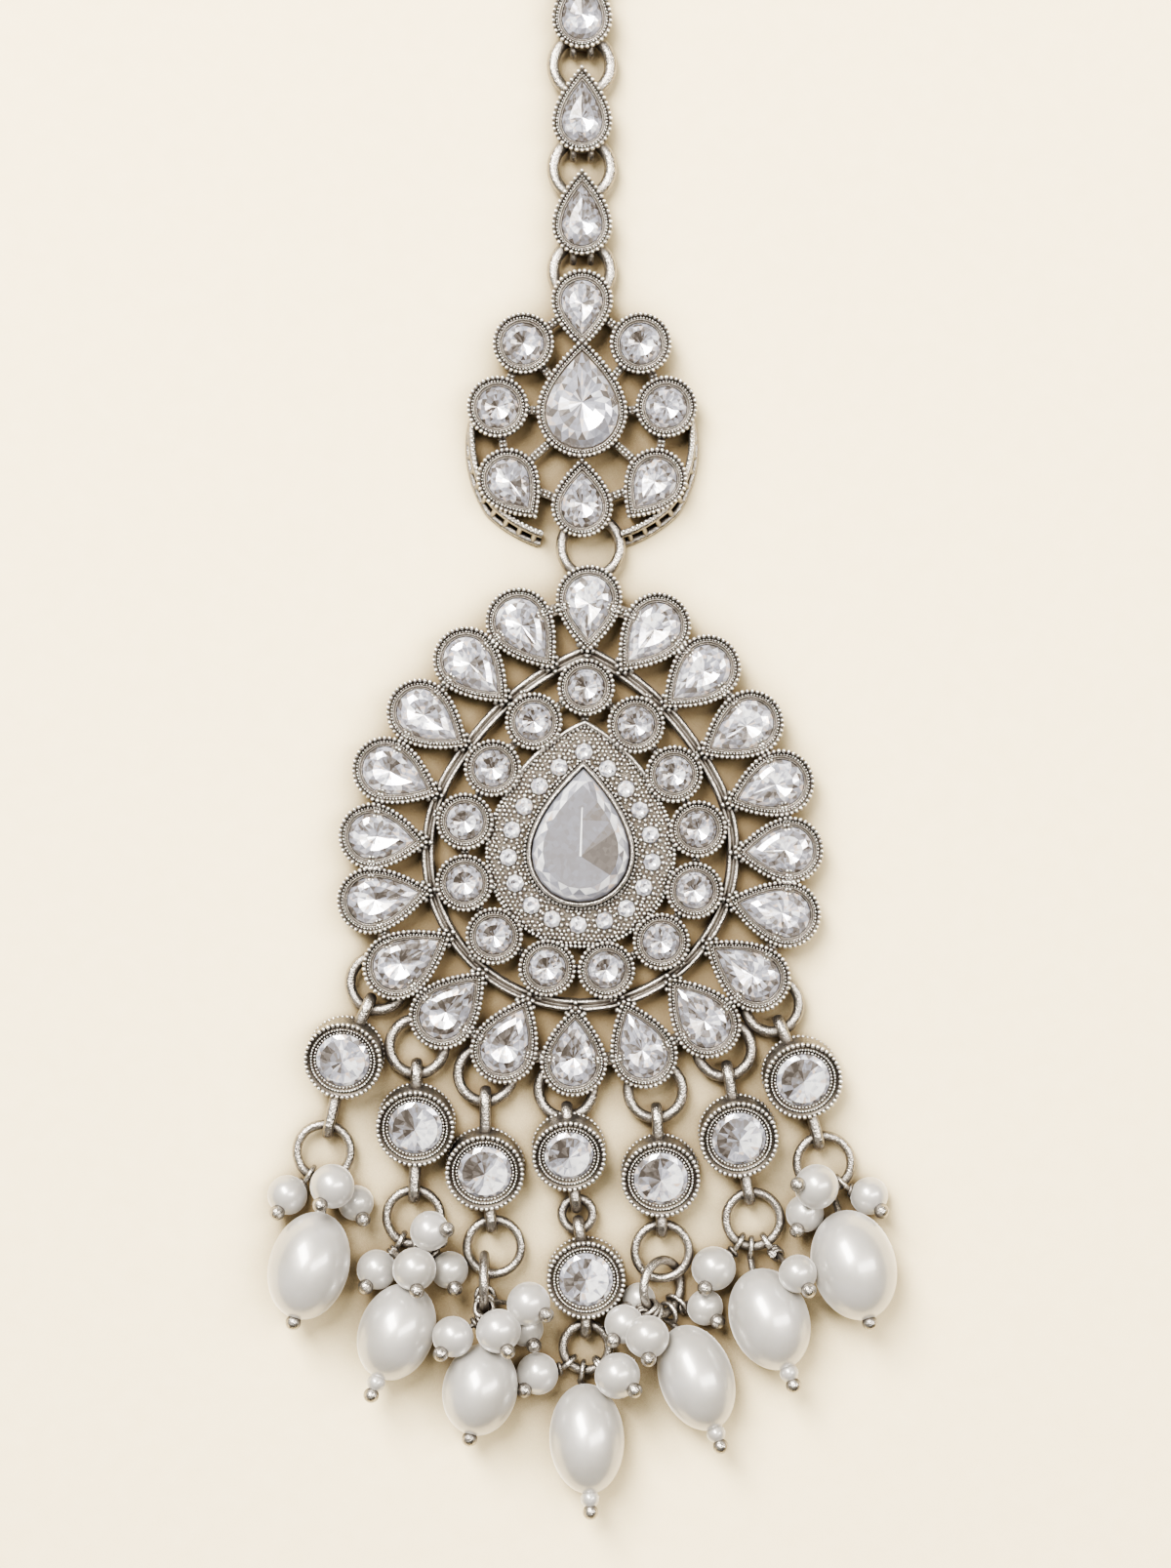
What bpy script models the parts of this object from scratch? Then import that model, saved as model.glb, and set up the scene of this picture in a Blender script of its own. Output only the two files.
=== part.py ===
"""A maang tikka lying flat: a chain of stone-set links with a plain hair hook, a pierced leaf
of stones, a large teardrop pendant, and a fringe of seven strands of charms and pearls.
Metres, +Z up. +Y runs towards the chain's hook. Everything rests on z = 0."""

import math

import bmesh
import bpy
from mathutils import Matrix, Vector

MM = 0.001

# Fits that all pieces share
GAP = 0.3 * MM
TUNNEL_GAP = 0.25 * MM

# Wires
CHAIN_WIRE_R = 0.45 * MM
PENDANT_WIRE_R = 0.5 * MM
STRAND_WIRE_R = 0.35 * MM
EYE_WIRE_R = 0.42 * MM
PIN_WIRE_R = 0.25 * MM
EYE_R = PENDANT_WIRE_R + TUNNEL_GAP + EYE_WIRE_R
PIN_EYE_R = STRAND_WIRE_R + TUNNEL_GAP + PIN_WIRE_R
LINK_Z = EYE_R + EYE_WIRE_R
EYE_SHORTEST = 0.2

# Stone settings
SETTING_H = 3.2 * MM
RIM = 0.6 * MM
CROWN = 0.5 * MM
TABLE = 0.55
FLANK = 0.85
FLANK_BULGE = 1.05
CHAIN_STONE_D = 5.8 * MM
CHAIN_STONE_L = 8.3 * MM
CHAIN_PITCH = 10.0 * MM
CHAIN_LINKS = 3
CHAIN_RING_R = 2.75 * MM
CHAIN_RING_REACH = 1.35 * MM

# Hair hook
HOOK_STEM = 11.0 * MM
HOOK_BEND_R = 2.4 * MM
HOOK_RETURN = 6.0 * MM
HOOK_WIRE_R = 0.55 * MM

# Leaf
LEAF_CENTRE_D = 8.7 * MM
LEAF_CENTRE_L = 11.4 * MM
LEAF_CENTRE_H = 3.6 * MM
LEAF_STONE_D = 5.9 * MM
LEAF_PEAR_L = 7.6 * MM
LEAF_BAR_R = 0.45 * MM
LEAF_WALL = 0.9 * MM
LEAF_WALL_H = 2.2 * MM
WALL_FROM = 94
WALL_TO = 162
WALL_SWELL = 0.625
LEAF_HOLD = 2.0 * MM
LEAF_SHIFT = -0.85 * MM

# Pendant. Each ring inside the frame lies its own inset further in than the one before
PENDANT_LEAN = -1.9
FRAME_R = 14.85 * MM
FRAME_PEAK = 0.306
FRAME_BAND = 1.7 * MM
FRAME_H = 2.2 * MM
PEAR_D = 6.4 * MM
PEAR_L = 8.9 * MM
ROUND_INSET = 3.23 * MM
ROUND_RING_R = FRAME_R - ROUND_INSET
ROUND_PEAK = 0.38
ROUND_D = 5.47 * MM
FIELD_INSET = 2.42 * MM
FIELD_R = ROUND_RING_R - FIELD_INSET
FIELD_PEAK = 0.36
FIELD_H = 2.6 * MM
PAVE_INSET = 2.2 * MM
PAVE_RING_R = FIELD_R - PAVE_INSET
PAVE_PEAK = 0.395
PAVE_D = 1.9 * MM
PAVE_H = 0.5 * MM
CENTRE_D = 9.7 * MM
CENTRE_L = 13.2 * MM
CENTRE_H = 4.4 * MM
CENTRE_RIM = 0.7 * MM
STONE_SEAT_H = 1.4 * MM
TOP_LOOP_R = 2.87 * MM
STRAND_LOOP_R = 2.65 * MM
PEAK_SPREAD = 60.0
PEAK_POWER = 1.9

# Charms and fringe
CHARM_D = 7.5 * MM
CHARM_H = 3.6 * MM
CHARM_RIM = 0.85 * MM
CHARM_TABLE = 0.3
CHARM_CROWN = 0.9 * MM
RING_R = 2.62 * MM
SMALL_RING_R = 1.52 * MM
PEARL_D = 4.1 * MM
OVAL_D = 7.6 * MM
OVAL_L = 10.2 * MM
OVAL_PITCH = 13.0
BALL_RISE = 40.0
BALL_D = 1.5 * MM
SEED_D = 1.8 * MM

# How finely round things are cut
SIDES = 10
PEAR_SIDES = 9
ROUND_SIDES = 8
CENTRE_SIDES = 12
PAVE_SIDES = 8
HOOP_SIDES = 12
STRAND_HOOP_SIDES = 10
WIRE_SIDES = 5
PIN_SIDES = 4
BALL_SIDES = (5, 3)
END_SIDES = (4, 3)
EYE_TURNS = 3
HOOK_TURNS = 5
WALL_STEPS = 9
PEARL_RINGS = 5
BAND_SIDES = 22

# The leaf's small stones round its centre: bearing from the top in degrees, how far past
# touching as a share of the stone's radius, and the way the tip points (None for a round stone)
LEAF_STONES = (
    {"name": "top", "bearing": 0, "apart": 1.2, "tip": 180},
    {"name": "upper", "bearing": 40.4, "apart": 0.5, "tip": None},
    {"name": "middle", "bearing": 86.3, "apart": 0.3, "tip": None},
    {"name": "lower", "bearing": 132, "apart": 0.8, "tip": -144},
    {"name": "bottom", "bearing": 180, "apart": 0.62, "tip": 0},
)

# The pendant's outer pears: where the tip meets the frame, the way the head points, both as
# bearings from the top in degrees, and the length as a share of PEAR_L
OUTER_PEARS = (
    {"tip": 0, "head": 0, "length": 0.95},
    {"tip": 10.3, "head": 38, "length": 1.0},
    {"tip": 27.9, "head": 46, "length": 1.0},
    {"tip": 48.7, "head": 56, "length": 1.0},
    {"tip": 69.5, "head": 67, "length": 1.0},
    {"tip": 88, "head": 85.5, "length": 0.97},
    {"tip": 106, "head": 101.5, "length": 1.04},
    {"tip": 123.8, "head": 123, "length": 1.05},
    {"tip": 142.9, "head": 138.5, "length": 1.02},
    {"tip": 162, "head": 157, "length": 1.0},
    {"tip": 180, "head": 180, "length": 0.98},
)
ROUND_BEARINGS = (0, 21.5, 48, 76.7, 106.4, 135.8, 165.7)
PAVE_BEARINGS = (0, 16, 33.6, 52.6, 73.7, 95.7, 117, 138.8, 158.7, 180)

# The seven strands, left to right. pear and side: the outer pear that carries the loop.
# Bearings are from straight down, towards +X. apart: the loop past the pear's head, as a share
# of the loop's radius. charm_drop: the loop's wire to the charm's rim. ring_drop: the rim to the
# ring's wire. Drops are shares of EYE_R.
STRANDS = (
    {"name": "a", "pear": 7, "side": -1, "loop": -47, "apart": -0.27, "charm": -23.5,
     "charm_drop": 1.5, "tilt": 12, "ring": -12.4, "ring_drop": 2.35},
    {"name": "b", "pear": 8, "side": -1, "loop": -38, "apart": 0.27, "charm": -0.6,
     "charm_drop": 1.25, "tilt": 12, "ring": -1.6, "ring_drop": 2.0},
    {"name": "c", "pear": 9, "side": -1, "loop": -35, "apart": -0.08, "charm": 0,
     "charm_drop": 2.6, "tilt": 12, "ring": 6.6, "ring_drop": 0.85},
    {"name": "d", "pear": 10, "side": 1, "loop": -14, "apart": -0.15, "charm": 3,
     "charm_drop": 0.12, "tilt": 26, "ring": 7.8, "ring_drop": 0.65},
    {"name": "e", "pear": 9, "side": 1, "loop": 19, "apart": 0.2, "charm": 3.3,
     "charm_drop": 1.75, "tilt": 12, "ring": 1.2, "ring_drop": 0.65},
    {"name": "f", "pear": 8, "side": 1, "loop": 36, "apart": -0.1, "charm": 9,
     "charm_drop": 2.0, "tilt": 12, "ring": 10.2, "ring_drop": 1.4},
    {"name": "g", "pear": 7, "side": 1, "loop": 32, "apart": -0.08, "charm": 22,
     "charm_drop": 1.25, "tilt": 12, "ring": 14.6, "ring_drop": 1.7},
)

# Strands with a second ring on the first: its turn out of the flat and where it hangs
SECOND_RINGS = {"c": {"turn": 90.0, "bearing": -20}, "e": {"turn": 46.0, "bearing": 0}}
SECOND_RING_DROP = 0.3
D1_SIZE = 0.94
D2_DROP = 0.85
D2_TILT = 4
D2_RING = 0.85

# Oval pearls. eye: where the pin's eye holds the ring; neck: the ring's wire to the pearl, as a
# share of PIN_EYE_R, and its bearing; lean: the way the pearl's axis points; sizes as shares
OVALS = (
    {"name": "a", "eye": 2, "neck": 3.8, "bearing": 1, "lean": -15, "d": 1.02, "l": 1.03, "seed": 0},
    {"name": "b", "eye": 4, "neck": 4.6, "bearing": 3, "lean": -22, "d": 0.96, "l": 0.94, "seed": 1},
    {"name": "c", "eye": 30, "neck": 4.1, "bearing": 8, "lean": -12, "d": 0.95, "l": 0.87, "seed": 0},
    {"name": "d", "eye": -9, "neck": 1.4, "bearing": -9, "lean": 3, "d": 0.95, "l": 1.03, "seed": 1},
    {"name": "e", "eye": 20, "neck": 2.3, "bearing": 52, "lean": 20, "d": 0.94, "l": 1.02, "seed": 1},
    {"name": "f", "eye": -4, "neck": 2.6, "bearing": -4, "lean": 20, "d": 1.0, "l": 0.98, "seed": 1},
    {"name": "g", "eye": 16, "neck": 2.8, "bearing": 35, "lean": 15, "d": 1.07, "l": 1.05, "seed": 0},
)

# Small pearls. Bearing from straight down at the ring's centre; reach from that centre as a share
# of RING_R + PEARL_D / 2; d as a share of PEARL_D; level 0 lies on the surface, 1 lies on the pins
# end: the bearing from straight down of the ball at the pin's end
CLUSTER_EYES = {"a": 34, "b": -30, "c": -30, "d": 34, "e": -26, "f": 30, "g": -26}
SMALL_PEARLS = (
    {"strand": "a", "bearing": 19.5, "reach": 0.68, "d": 1.05, "level": 1, "end": -33},
    {"strand": "a", "bearing": 32, "reach": 1.26, "d": 0.85, "level": 0, "end": 29},
    {"strand": "a", "bearing": -40, "reach": 1.17, "d": 0.95, "level": 0, "end": -29},
    {"strand": "b", "bearing": -35, "reach": 1.33, "d": 0.95, "level": 0, "end": -34},
    {"strand": "b", "bearing": 3, "reach": 0.99, "d": 1.03, "level": 1.05, "end": 9},
    {"strand": "b", "bearing": 34, "reach": 1.33, "d": 0.9, "level": 0, "end": 20},
    {"strand": "b", "bearing": 60, "reach": 0.42, "d": 0.93, "level": 1, "end": 100},
    {"strand": "c", "bearing": -31, "reach": 1.24, "d": 0.97, "level": 1.1, "end": -38},
    {"strand": "c", "bearing": 18, "reach": 0.98, "d": 1.05, "level": 1.2, "end": 28},
    {"strand": "c", "bearing": 67, "reach": 1.0, "d": 1.03, "level": 1, "end": 64},
    {"strand": "c", "bearing": 40, "reach": 1.32, "d": 0.85, "level": 0, "end": 30},
    {"strand": "d", "bearing": -62, "reach": 1.14, "d": 1.0, "level": 0, "end": -43},
    {"strand": "d", "bearing": 54, "reach": 0.8, "d": 1.08, "level": 1, "end": 55},
    {"strand": "e", "bearing": -60, "reach": 0.55, "d": 0.78, "level": 0, "end": -60},
    {"strand": "e", "bearing": -48, "reach": 1.06, "d": 0.93, "level": 0.8, "end": -40},
    {"strand": "e", "bearing": -19, "reach": 0.98, "d": 1.03, "level": 1.2, "end": 3},
    {"strand": "e", "bearing": 64, "reach": 1.0, "d": 0.86, "level": 0, "end": 45},
    {"strand": "f", "bearing": -39, "reach": 1.3, "d": 1.05, "level": 0, "end": -28},
    {"strand": "f", "bearing": 41, "reach": 1.34, "d": 0.9, "level": 1.4, "end": 35},
    {"strand": "g", "bearing": -26, "reach": 0.46, "d": 1.05, "level": 1, "end": -101},
    {"strand": "g", "bearing": 54, "reach": 1.16, "d": 0.9, "level": 0, "end": 40},
    {"strand": "g", "bearing": -21, "reach": 1.12, "d": 0.9, "level": 0, "end": -30},
)

METAL, CRYSTAL, PEARL = 0, 1, 2


def clear_scene():
    for obj in list(bpy.data.objects):
        bpy.data.objects.remove(obj)


def material(name, colour, metallic, roughness):
    made = bpy.data.materials.new(name)
    made.use_nodes = True
    shader = made.node_tree.nodes["Principled BSDF"]
    shader.inputs["Base Color"].default_value = (*colour, 1.0)
    shader.inputs["Metallic"].default_value = metallic
    shader.inputs["Roughness"].default_value = roughness
    return made


# Directions and places in the plane


def from_top(bearing):
    """Unit vector at a bearing from +Y towards +X, in degrees."""
    angle = math.radians(bearing)
    return Vector((math.sin(angle), math.cos(angle), 0.0))


def from_bottom(bearing):
    """Unit vector at a bearing from -Y towards +X, in degrees."""
    angle = math.radians(bearing)
    return Vector((math.sin(angle), -math.cos(angle), 0.0))


def tip_at(place, tip_bearing, tilt=0.0):
    """Placement of an outline whose tip points at a bearing from the top."""
    turned = Matrix.Rotation(math.radians(-tip_bearing), 4, "Z")
    return Matrix.Translation(place) @ turned @ Matrix.Rotation(math.radians(tilt), 4, "X")


def teardrop_radius(bearing, radius, peak):
    """Radius of the pendant's outlines: a circle drawn up to a peak at bearing 0."""
    lift = max(0.0, 1.0 - abs(bearing) / PEAK_SPREAD)
    return radius * (1.0 + peak * lift**PEAK_POWER)


def on_teardrop(bearing, radius, peak):
    return from_top(bearing) * teardrop_radius(bearing, radius, peak)


# Outlines, counterclockwise


def round_outline(diameter, sides=SIDES):
    steps = (math.tau * (i + 0.5) / sides for i in range(sides))
    return [Vector((diameter / 2 * math.cos(a), diameter / 2 * math.sin(a))) for a in steps]


def pear_outline(diameter, length, sides=PEAR_SIDES):
    """A pear with its round head on the origin and its tip at +Y."""
    radius = diameter / 2
    tip = Vector((0.0, length - radius))
    flank = math.acos(min(1.0, radius / tip.y)) * FLANK
    arc = [flank + (math.tau - 2 * flank) * i / (sides - 4) for i in range(sides - 3)]
    head = [Vector((-radius * math.sin(a), radius * math.cos(a))) for a in arc]
    left, right = ((end + tip) / 2 * FLANK_BULGE for end in (head[0], head[-1]))
    return [tip, left] + head + [right]


def teardrop_outline(radius, peak, sides=BAND_SIDES):
    bearings = (-360.0 * i / sides for i in range(sides))
    folded = ((b + 180.0) % 360.0 - 180.0 for b in bearings)
    return [on_teardrop(b, radius, peak).xy for b in folded]


# Solids, each a bmesh whose faces carry a material index


def cap(bm, ring, turned=False):
    bm.faces.new(list(reversed(ring)) if turned else ring)


def band(bm, low, high, index=METAL):
    for i in range(len(low)):
        j = (i + 1) % len(low)
        bm.faces.new((low[i], low[j], high[j], high[i])).material_index = index


def lofted(outline, rows, placed=Matrix(), top_index=METAL):
    """Closed solid through copies of an outline. A row gives scale, height and material."""
    bm = bmesh.new()
    rings = []
    for row in rows:
        rings.append([bm.verts.new(placed @ Vector((*(p * row["scale"]), row["z"])))
                      for p in outline])
    cap(bm, rings[0], turned=True)
    for k in range(len(rings) - 1):
        band(bm, rings[k], rings[k + 1], rows[k + 1].get("index", METAL))
    cap(bm, rings[-1])
    bm.faces.ensure_lookup_table()
    bm.faces[-1].material_index = top_index
    return bm


def stone_setting(outline, half_width, height, placed, rim=RIM, crown=CROWN, table=TABLE):
    """A closed-back setting with its stone: wall, flat rim, crown facets and table."""
    stone = (half_width - rim) / half_width
    rows = (
        {"scale": 1, "z": 0},
        {"scale": 1, "z": height},
        {"scale": stone, "z": height},
        {"scale": stone * table, "z": height + crown, "index": CRYSTAL},
    )
    return lofted(outline, rows, placed, CRYSTAL)


def loose_stone(outline, half_width, rim, seat, height, crown, placed):
    """A cut stone that seats in an open setting: pavilion, girdle, crown facets and table."""
    stone = (half_width - rim - GAP) / half_width
    girdle = height - 2 * GAP
    rows = (
        {"scale": stone * 0.6, "z": seat + GAP},
        {"scale": stone, "z": girdle, "index": CRYSTAL},
        {"scale": stone, "z": girdle + GAP, "index": CRYSTAL},
        {"scale": stone * TABLE, "z": girdle + GAP + crown, "index": CRYSTAL},
    )
    return lofted(outline, rows, placed, CRYSTAL)


def pocket(outline, half_width, rim, seat, height):
    inner = (half_width - rim) / half_width
    return ({"scale": inner, "z": seat}, {"scale": inner, "z": height + rim})


def wire_loop(path, normal, wire_r, sides=WIRE_SIDES):
    """A closed wire along a flat path whose plane has this normal."""
    bm = bmesh.new()
    rings = []
    for i, point in enumerate(path):
        along = (path[(i + 1) % len(path)] - path[i - 1]).normalized()
        out = along.cross(normal)
        turns = (math.tau * k / sides for k in range(sides))
        rings.append([bm.verts.new(point + wire_r * (math.cos(a) * out + math.sin(a) * normal))
                      for a in turns])
    for i, ring in enumerate(rings):
        band(bm, ring, rings[(i + 1) % len(rings)])
    bmesh.ops.recalc_face_normals(bm, faces=bm.faces)
    return bm


def hoop(centre, across, down, radius, wire_r, segments=HOOP_SIDES, sides=WIRE_SIDES):
    """A round wire ring in the plane of two unit vectors."""
    turns = (math.tau * (i + 0.5) / segments for i in range(segments))
    path = [centre + radius * (math.cos(a) * across + math.sin(a) * down) for a in turns]
    return wire_loop(path, across.cross(down).normalized(), wire_r, sides)


def flat_hoop(centre, radius, wire_r, segments=HOOP_SIDES, sides=WIRE_SIDES):
    return hoop(centre, Vector((1, 0, 0)), Vector((0, 1, 0)), radius, wire_r, segments, sides)


def eye(start, end, up, radius, wire_r, sides=WIRE_SIDES):
    """A long wire eye, upright in the plane of its run and of up."""
    run = (end - start).normalized()
    path = []
    for centre, first in ((start, 90.0), (end, -90.0)):
        for i in range(EYE_TURNS + 1):
            angle = math.radians(first + 180.0 * i / EYE_TURNS)
            path.append(centre + radius * (math.cos(angle) * run + math.sin(angle) * up))
    return wire_loop(path, run.cross(up).normalized(), wire_r, sides)


def rod(start, end, radius, sides=WIRE_SIDES):
    along = end - start
    outline = round_outline(2 * radius, sides)
    placed = Matrix.Translation(start) @ along.to_track_quat("Z", "Y").to_matrix().to_4x4()
    rows = ({"scale": 1, "z": 0}, {"scale": 1, "z": along.length})
    return lofted(outline, rows, placed)


def bent_rod(path, normal, radius, sides=WIRE_SIDES):
    """An open wire along a flat path."""
    bm = bmesh.new()
    rings = []
    for i, point in enumerate(path):
        along = (path[min(i + 1, len(path) - 1)] - path[max(i - 1, 0)]).normalized()
        out = along.cross(normal)
        turns = (math.tau * k / sides for k in range(sides))
        rings.append([bm.verts.new(point + radius * (math.cos(a) * out + math.sin(a) * normal))
                      for a in turns])
    for low, high in zip(rings, rings[1:]):
        band(bm, low, high)
    cap(bm, rings[0], turned=True)
    cap(bm, rings[-1])
    bmesh.ops.recalc_face_normals(bm, faces=bm.faces)
    return bm


def ball(centre, diameter, index, segments=SIDES, rings=PEARL_RINGS, stretch=1.0, axis=None):
    """A round or, with a stretch along an axis, an oval body."""
    bm = bmesh.new()
    shape = Matrix.Diagonal((diameter / 2, diameter / 2, diameter / 2 * stretch, 1.0))
    turned = (axis or Vector((0, 0, 1))).to_track_quat("Z", "Y").to_matrix().to_4x4()
    bmesh.ops.create_uvsphere(bm, u_segments=segments, v_segments=rings, radius=1.0,
                              matrix=Matrix.Translation(centre) @ turned @ shape)
    for face in bm.faces:
        face.material_index = index
    return bm


# Joining


def helper(bm, finishes, collection):
    mesh = bpy.data.meshes.new("helper")
    bm.to_mesh(mesh)
    bm.free()
    for finish in finishes:
        mesh.materials.append(finish)
    obj = bpy.data.objects.new("helper", mesh)
    obj.hide_render = True
    obj.display_type = "WIRE"
    collection.objects.link(obj)
    return obj


def fused(name, solids, finishes, cuts=()):
    """One named object from solids that meet, less its cuts."""
    scene = bpy.context.scene.collection
    joined = bpy.data.collections.new(name + "_joined")
    cutters = bpy.data.collections.new(name + "_cutters")
    scene.children.link(joined)
    scene.children.link(cutters)
    body = helper(solids[0], finishes, scene)
    body.name = name
    for bm in solids[1:]:
        helper(bm, finishes, joined)
    for bm in cuts:
        helper(bm, finishes, cutters)
    for group, operation in ((joined, "UNION"), (cutters, "DIFFERENCE")):
        if not group.objects:
            continue
        step = body.modifiers.new(operation.title(), "BOOLEAN")
        step.operation = operation
        step.operand_type = "COLLECTION"
        step.collection = group
    bpy.context.view_layer.update()
    graph = bpy.context.evaluated_depsgraph_get()
    whole = bpy.data.meshes.new_from_object(body.evaluated_get(graph))
    body.modifiers.clear()
    body.data = whole
    body.data.name = name
    for group in (joined, cutters):
        for obj in list(group.objects):
            bpy.data.objects.remove(obj)
        bpy.data.collections.remove(group)
    body.hide_render = False
    body.display_type = "TEXTURED"
    return body


# The chain and its hook


def tunnel(centre, radius, wire_r):
    return flat_hoop(centre, radius, wire_r + TUNNEL_GAP, HOOP_SIDES, WIRE_SIDES + 1)


def at_link_level(place):
    return Vector((place.x, place.y, LINK_Z))


def chain(first_ring, finishes):
    """Links and rings upward from the ring at the leaf's top, then the hook."""
    nodes = []
    up = from_top(0)
    places = [first_ring + up * CHAIN_PITCH * i for i in range(CHAIN_LINKS + 1)]
    for i, centre in enumerate(places):
        name = f"chain_ring_{CHAIN_LINKS - i}" if i < CHAIN_LINKS else "hook_ring"
        nodes.append(fused(name, [flat_hoop(centre, CHAIN_RING_R, CHAIN_WIRE_R)], finishes))
    for i in range(CHAIN_LINKS):
        bottom = places[i] + up * (CHAIN_RING_R - CHAIN_RING_REACH)
        head = Vector((bottom.x, bottom.y, 0)) + up * CHAIN_STONE_D / 2
        placed = tip_at(head, 0)
        outline = pear_outline(CHAIN_STONE_D, CHAIN_STONE_L)
        solid = stone_setting(outline, CHAIN_STONE_D / 2, SETTING_H, placed)
        cuts = [tunnel(places[i], CHAIN_RING_R, CHAIN_WIRE_R),
                tunnel(places[i + 1], CHAIN_RING_R, CHAIN_WIRE_R)]
        name = f"chain_link_{CHAIN_LINKS - i}"
        nodes.append(fused(name, [solid], finishes, cuts))
    nodes.append(hair_hook(places[-1], finishes))
    return nodes


def hair_hook(ring_centre, finishes):
    """An upright eye round the ring's wire, a stem, and a flat hook."""
    up = from_top(0)
    level = Vector((0, 0, 1))
    on_wire = ring_centre + up * CHAIN_RING_R
    eye_r = CHAIN_WIRE_R + TUNNEL_GAP + HOOK_WIRE_R
    eye_end = on_wire + up * eye_r
    stem_start = eye_end + up * eye_r
    top = stem_start + up * HOOK_STEM
    bend = top + Vector((-HOOK_BEND_R, 0, 0))
    path = [stem_start - up * HOOK_WIRE_R, stem_start + up * HOOK_STEM / 2, top]
    for i in range(1, HOOK_TURNS + 1):
        angle = math.pi * i / HOOK_TURNS
        path.append(bend + HOOK_BEND_R * Vector((math.cos(angle), math.sin(angle), 0)))
    path.append(path[-1] - up * HOOK_RETURN)
    solids = [bent_rod(path, level, HOOK_WIRE_R),
              eye(on_wire, eye_end, level, eye_r, HOOK_WIRE_R),
              ball(path[-1], 3 * HOOK_WIRE_R, METAL, *BALL_SIDES)]
    return fused("hair_hook", solids, finishes)


# The leaf


def leaf_places(centre):
    """Each small stone's name, place and tip bearing, on both sides."""
    places = []
    for row in LEAF_STONES:
        for side in (1, -1):
            if side < 0 and row["bearing"] in (0, 180):
                continue
            reach = (LEAF_CENTRE_D + LEAF_STONE_D * (1 + row["apart"])) / 2
            place = centre + from_top(side * row["bearing"]) * reach
            tip = None if row["tip"] is None else side * row["tip"]
            places.append({"name": row["name"], "side": side, "place": place, "tip": tip})
    return places


def leaf(centre, top_ring, bottom_ring, finishes):
    solids = []
    stones = leaf_places(centre)
    for stone in stones:
        placed = tip_at(stone["place"], stone["tip"] or 0)
        if stone["tip"] is None:
            outline = round_outline(LEAF_STONE_D, ROUND_SIDES)
        else:
            outline = pear_outline(LEAF_STONE_D, LEAF_PEAR_L)
        solids.append(stone_setting(outline, LEAF_STONE_D / 2, SETTING_H, placed))
    middle = pear_outline(LEAF_CENTRE_D, LEAF_CENTRE_L, CENTRE_SIDES)
    placed = tip_at(centre, 0)
    wall = ({"scale": 1, "z": 0}, {"scale": 1, "z": LEAF_CENTRE_H})
    solids.append(lofted(middle, wall, placed))
    level = Vector((0, 0, SETTING_H / 2))
    for side in (1, -1):
        row = [s for s in stones if s["side"] == side or s["name"] in ("top", "bottom")]
        for first, second in zip(row, row[1:]):
            solids.append(rod(first["place"] + level, second["place"] + level, LEAF_BAR_R,
                              PIN_SIDES))
        for stone in row[1:-1]:
            inward = (stone["place"] - centre).normalized() * (LEAF_CENTRE_D / 2 - RIM)
            solids.append(rod(stone["place"] + level, centre + inward + level, LEAF_BAR_R,
                              PIN_SIDES))
        solids.append(gallery_wall(centre, side, stones))
    for name, up in (("top", -1), ("bottom", 1)):
        stone = next(s for s in stones if s["name"] == name)
        tip = stone["place"] + from_top(0) * up * (LEAF_PEAR_L - LEAF_STONE_D / 2)
        half_bar = from_top(0) * up * LEAF_STONE_D / 4
        solids.append(rod(tip + level - half_bar, tip + level + half_bar, LEAF_BAR_R, PIN_SIDES))
    hollow = pocket(middle, LEAF_CENTRE_D / 2, RIM, STONE_SEAT_H, LEAF_CENTRE_H)
    cuts = [lofted(middle, hollow, placed),
            tunnel(top_ring, CHAIN_RING_R, CHAIN_WIRE_R),
            tunnel(bottom_ring, TOP_LOOP_R, PENDANT_WIRE_R)]
    frame = fused("leaf_frame", solids, finishes, cuts)
    stone = loose_stone(middle, LEAF_CENTRE_D / 2, RIM, STONE_SEAT_H, LEAF_CENTRE_H, CROWN, placed)
    return [frame, fused("leaf_centre_stone", [stone], finishes)]


def gallery_wall(centre, side, stones):
    """The curved wall outside the lower stones, from the middle stone to the bottom one."""
    middle = next(s for s in stones if s["name"] == "middle")
    lower = next(s for s in stones if s["name"] == "lower")
    start_r = (middle["place"] - centre).length + LEAF_STONE_D / 2 - LEAF_WALL / 2
    end_r = (lower["place"] - centre).length + LEAF_STONE_D / 2
    bm = bmesh.new()
    rings = []
    for i in range(WALL_STEPS + 1):
        share = i / WALL_STEPS
        out = from_top(side * (WALL_FROM + (WALL_TO - WALL_FROM) * share))
        radius = start_r + (end_r - start_r) * min(1.0, share / WALL_SWELL)
        inner = centre + out * (radius - LEAF_WALL / 2)
        outer = centre + out * (radius + LEAF_WALL / 2)
        lift = Vector((0, 0, LEAF_WALL_H))
        rings.append([bm.verts.new(p) for p in (inner, outer, outer + lift, inner + lift)])
    for low, high in zip(rings, rings[1:]):
        band(bm, low, high)
    cap(bm, rings[0], turned=True)
    cap(bm, rings[-1])
    bmesh.ops.recalc_face_normals(bm, faces=bm.faces)
    return bm


# The pendant


def pear_heads():
    """Place and bearing of each outer pear's round head, in the pendant's upright frame."""
    heads = []
    for number, row in enumerate(OUTER_PEARS):
        for side in (1, -1):
            if side < 0 and row["tip"] in (0, 180):
                continue
            tip = on_teardrop(side * row["tip"], FRAME_R, FRAME_PEAK)
            length = PEAR_L * row["length"]
            place = tip + from_top(side * row["head"]) * (length - PEAR_D / 2)
            heads.append({"row": number, "side": side, "place": place, "length": length,
                          "head": side * row["head"]})
    return heads


def leaned(point):
    return Matrix.Rotation(math.radians(PENDANT_LEAN), 4, "Z") @ point


def both_sides(bearings):
    return [b * side for b in bearings for side in (1, -1) if side > 0 or b not in (0, 180)]


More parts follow.
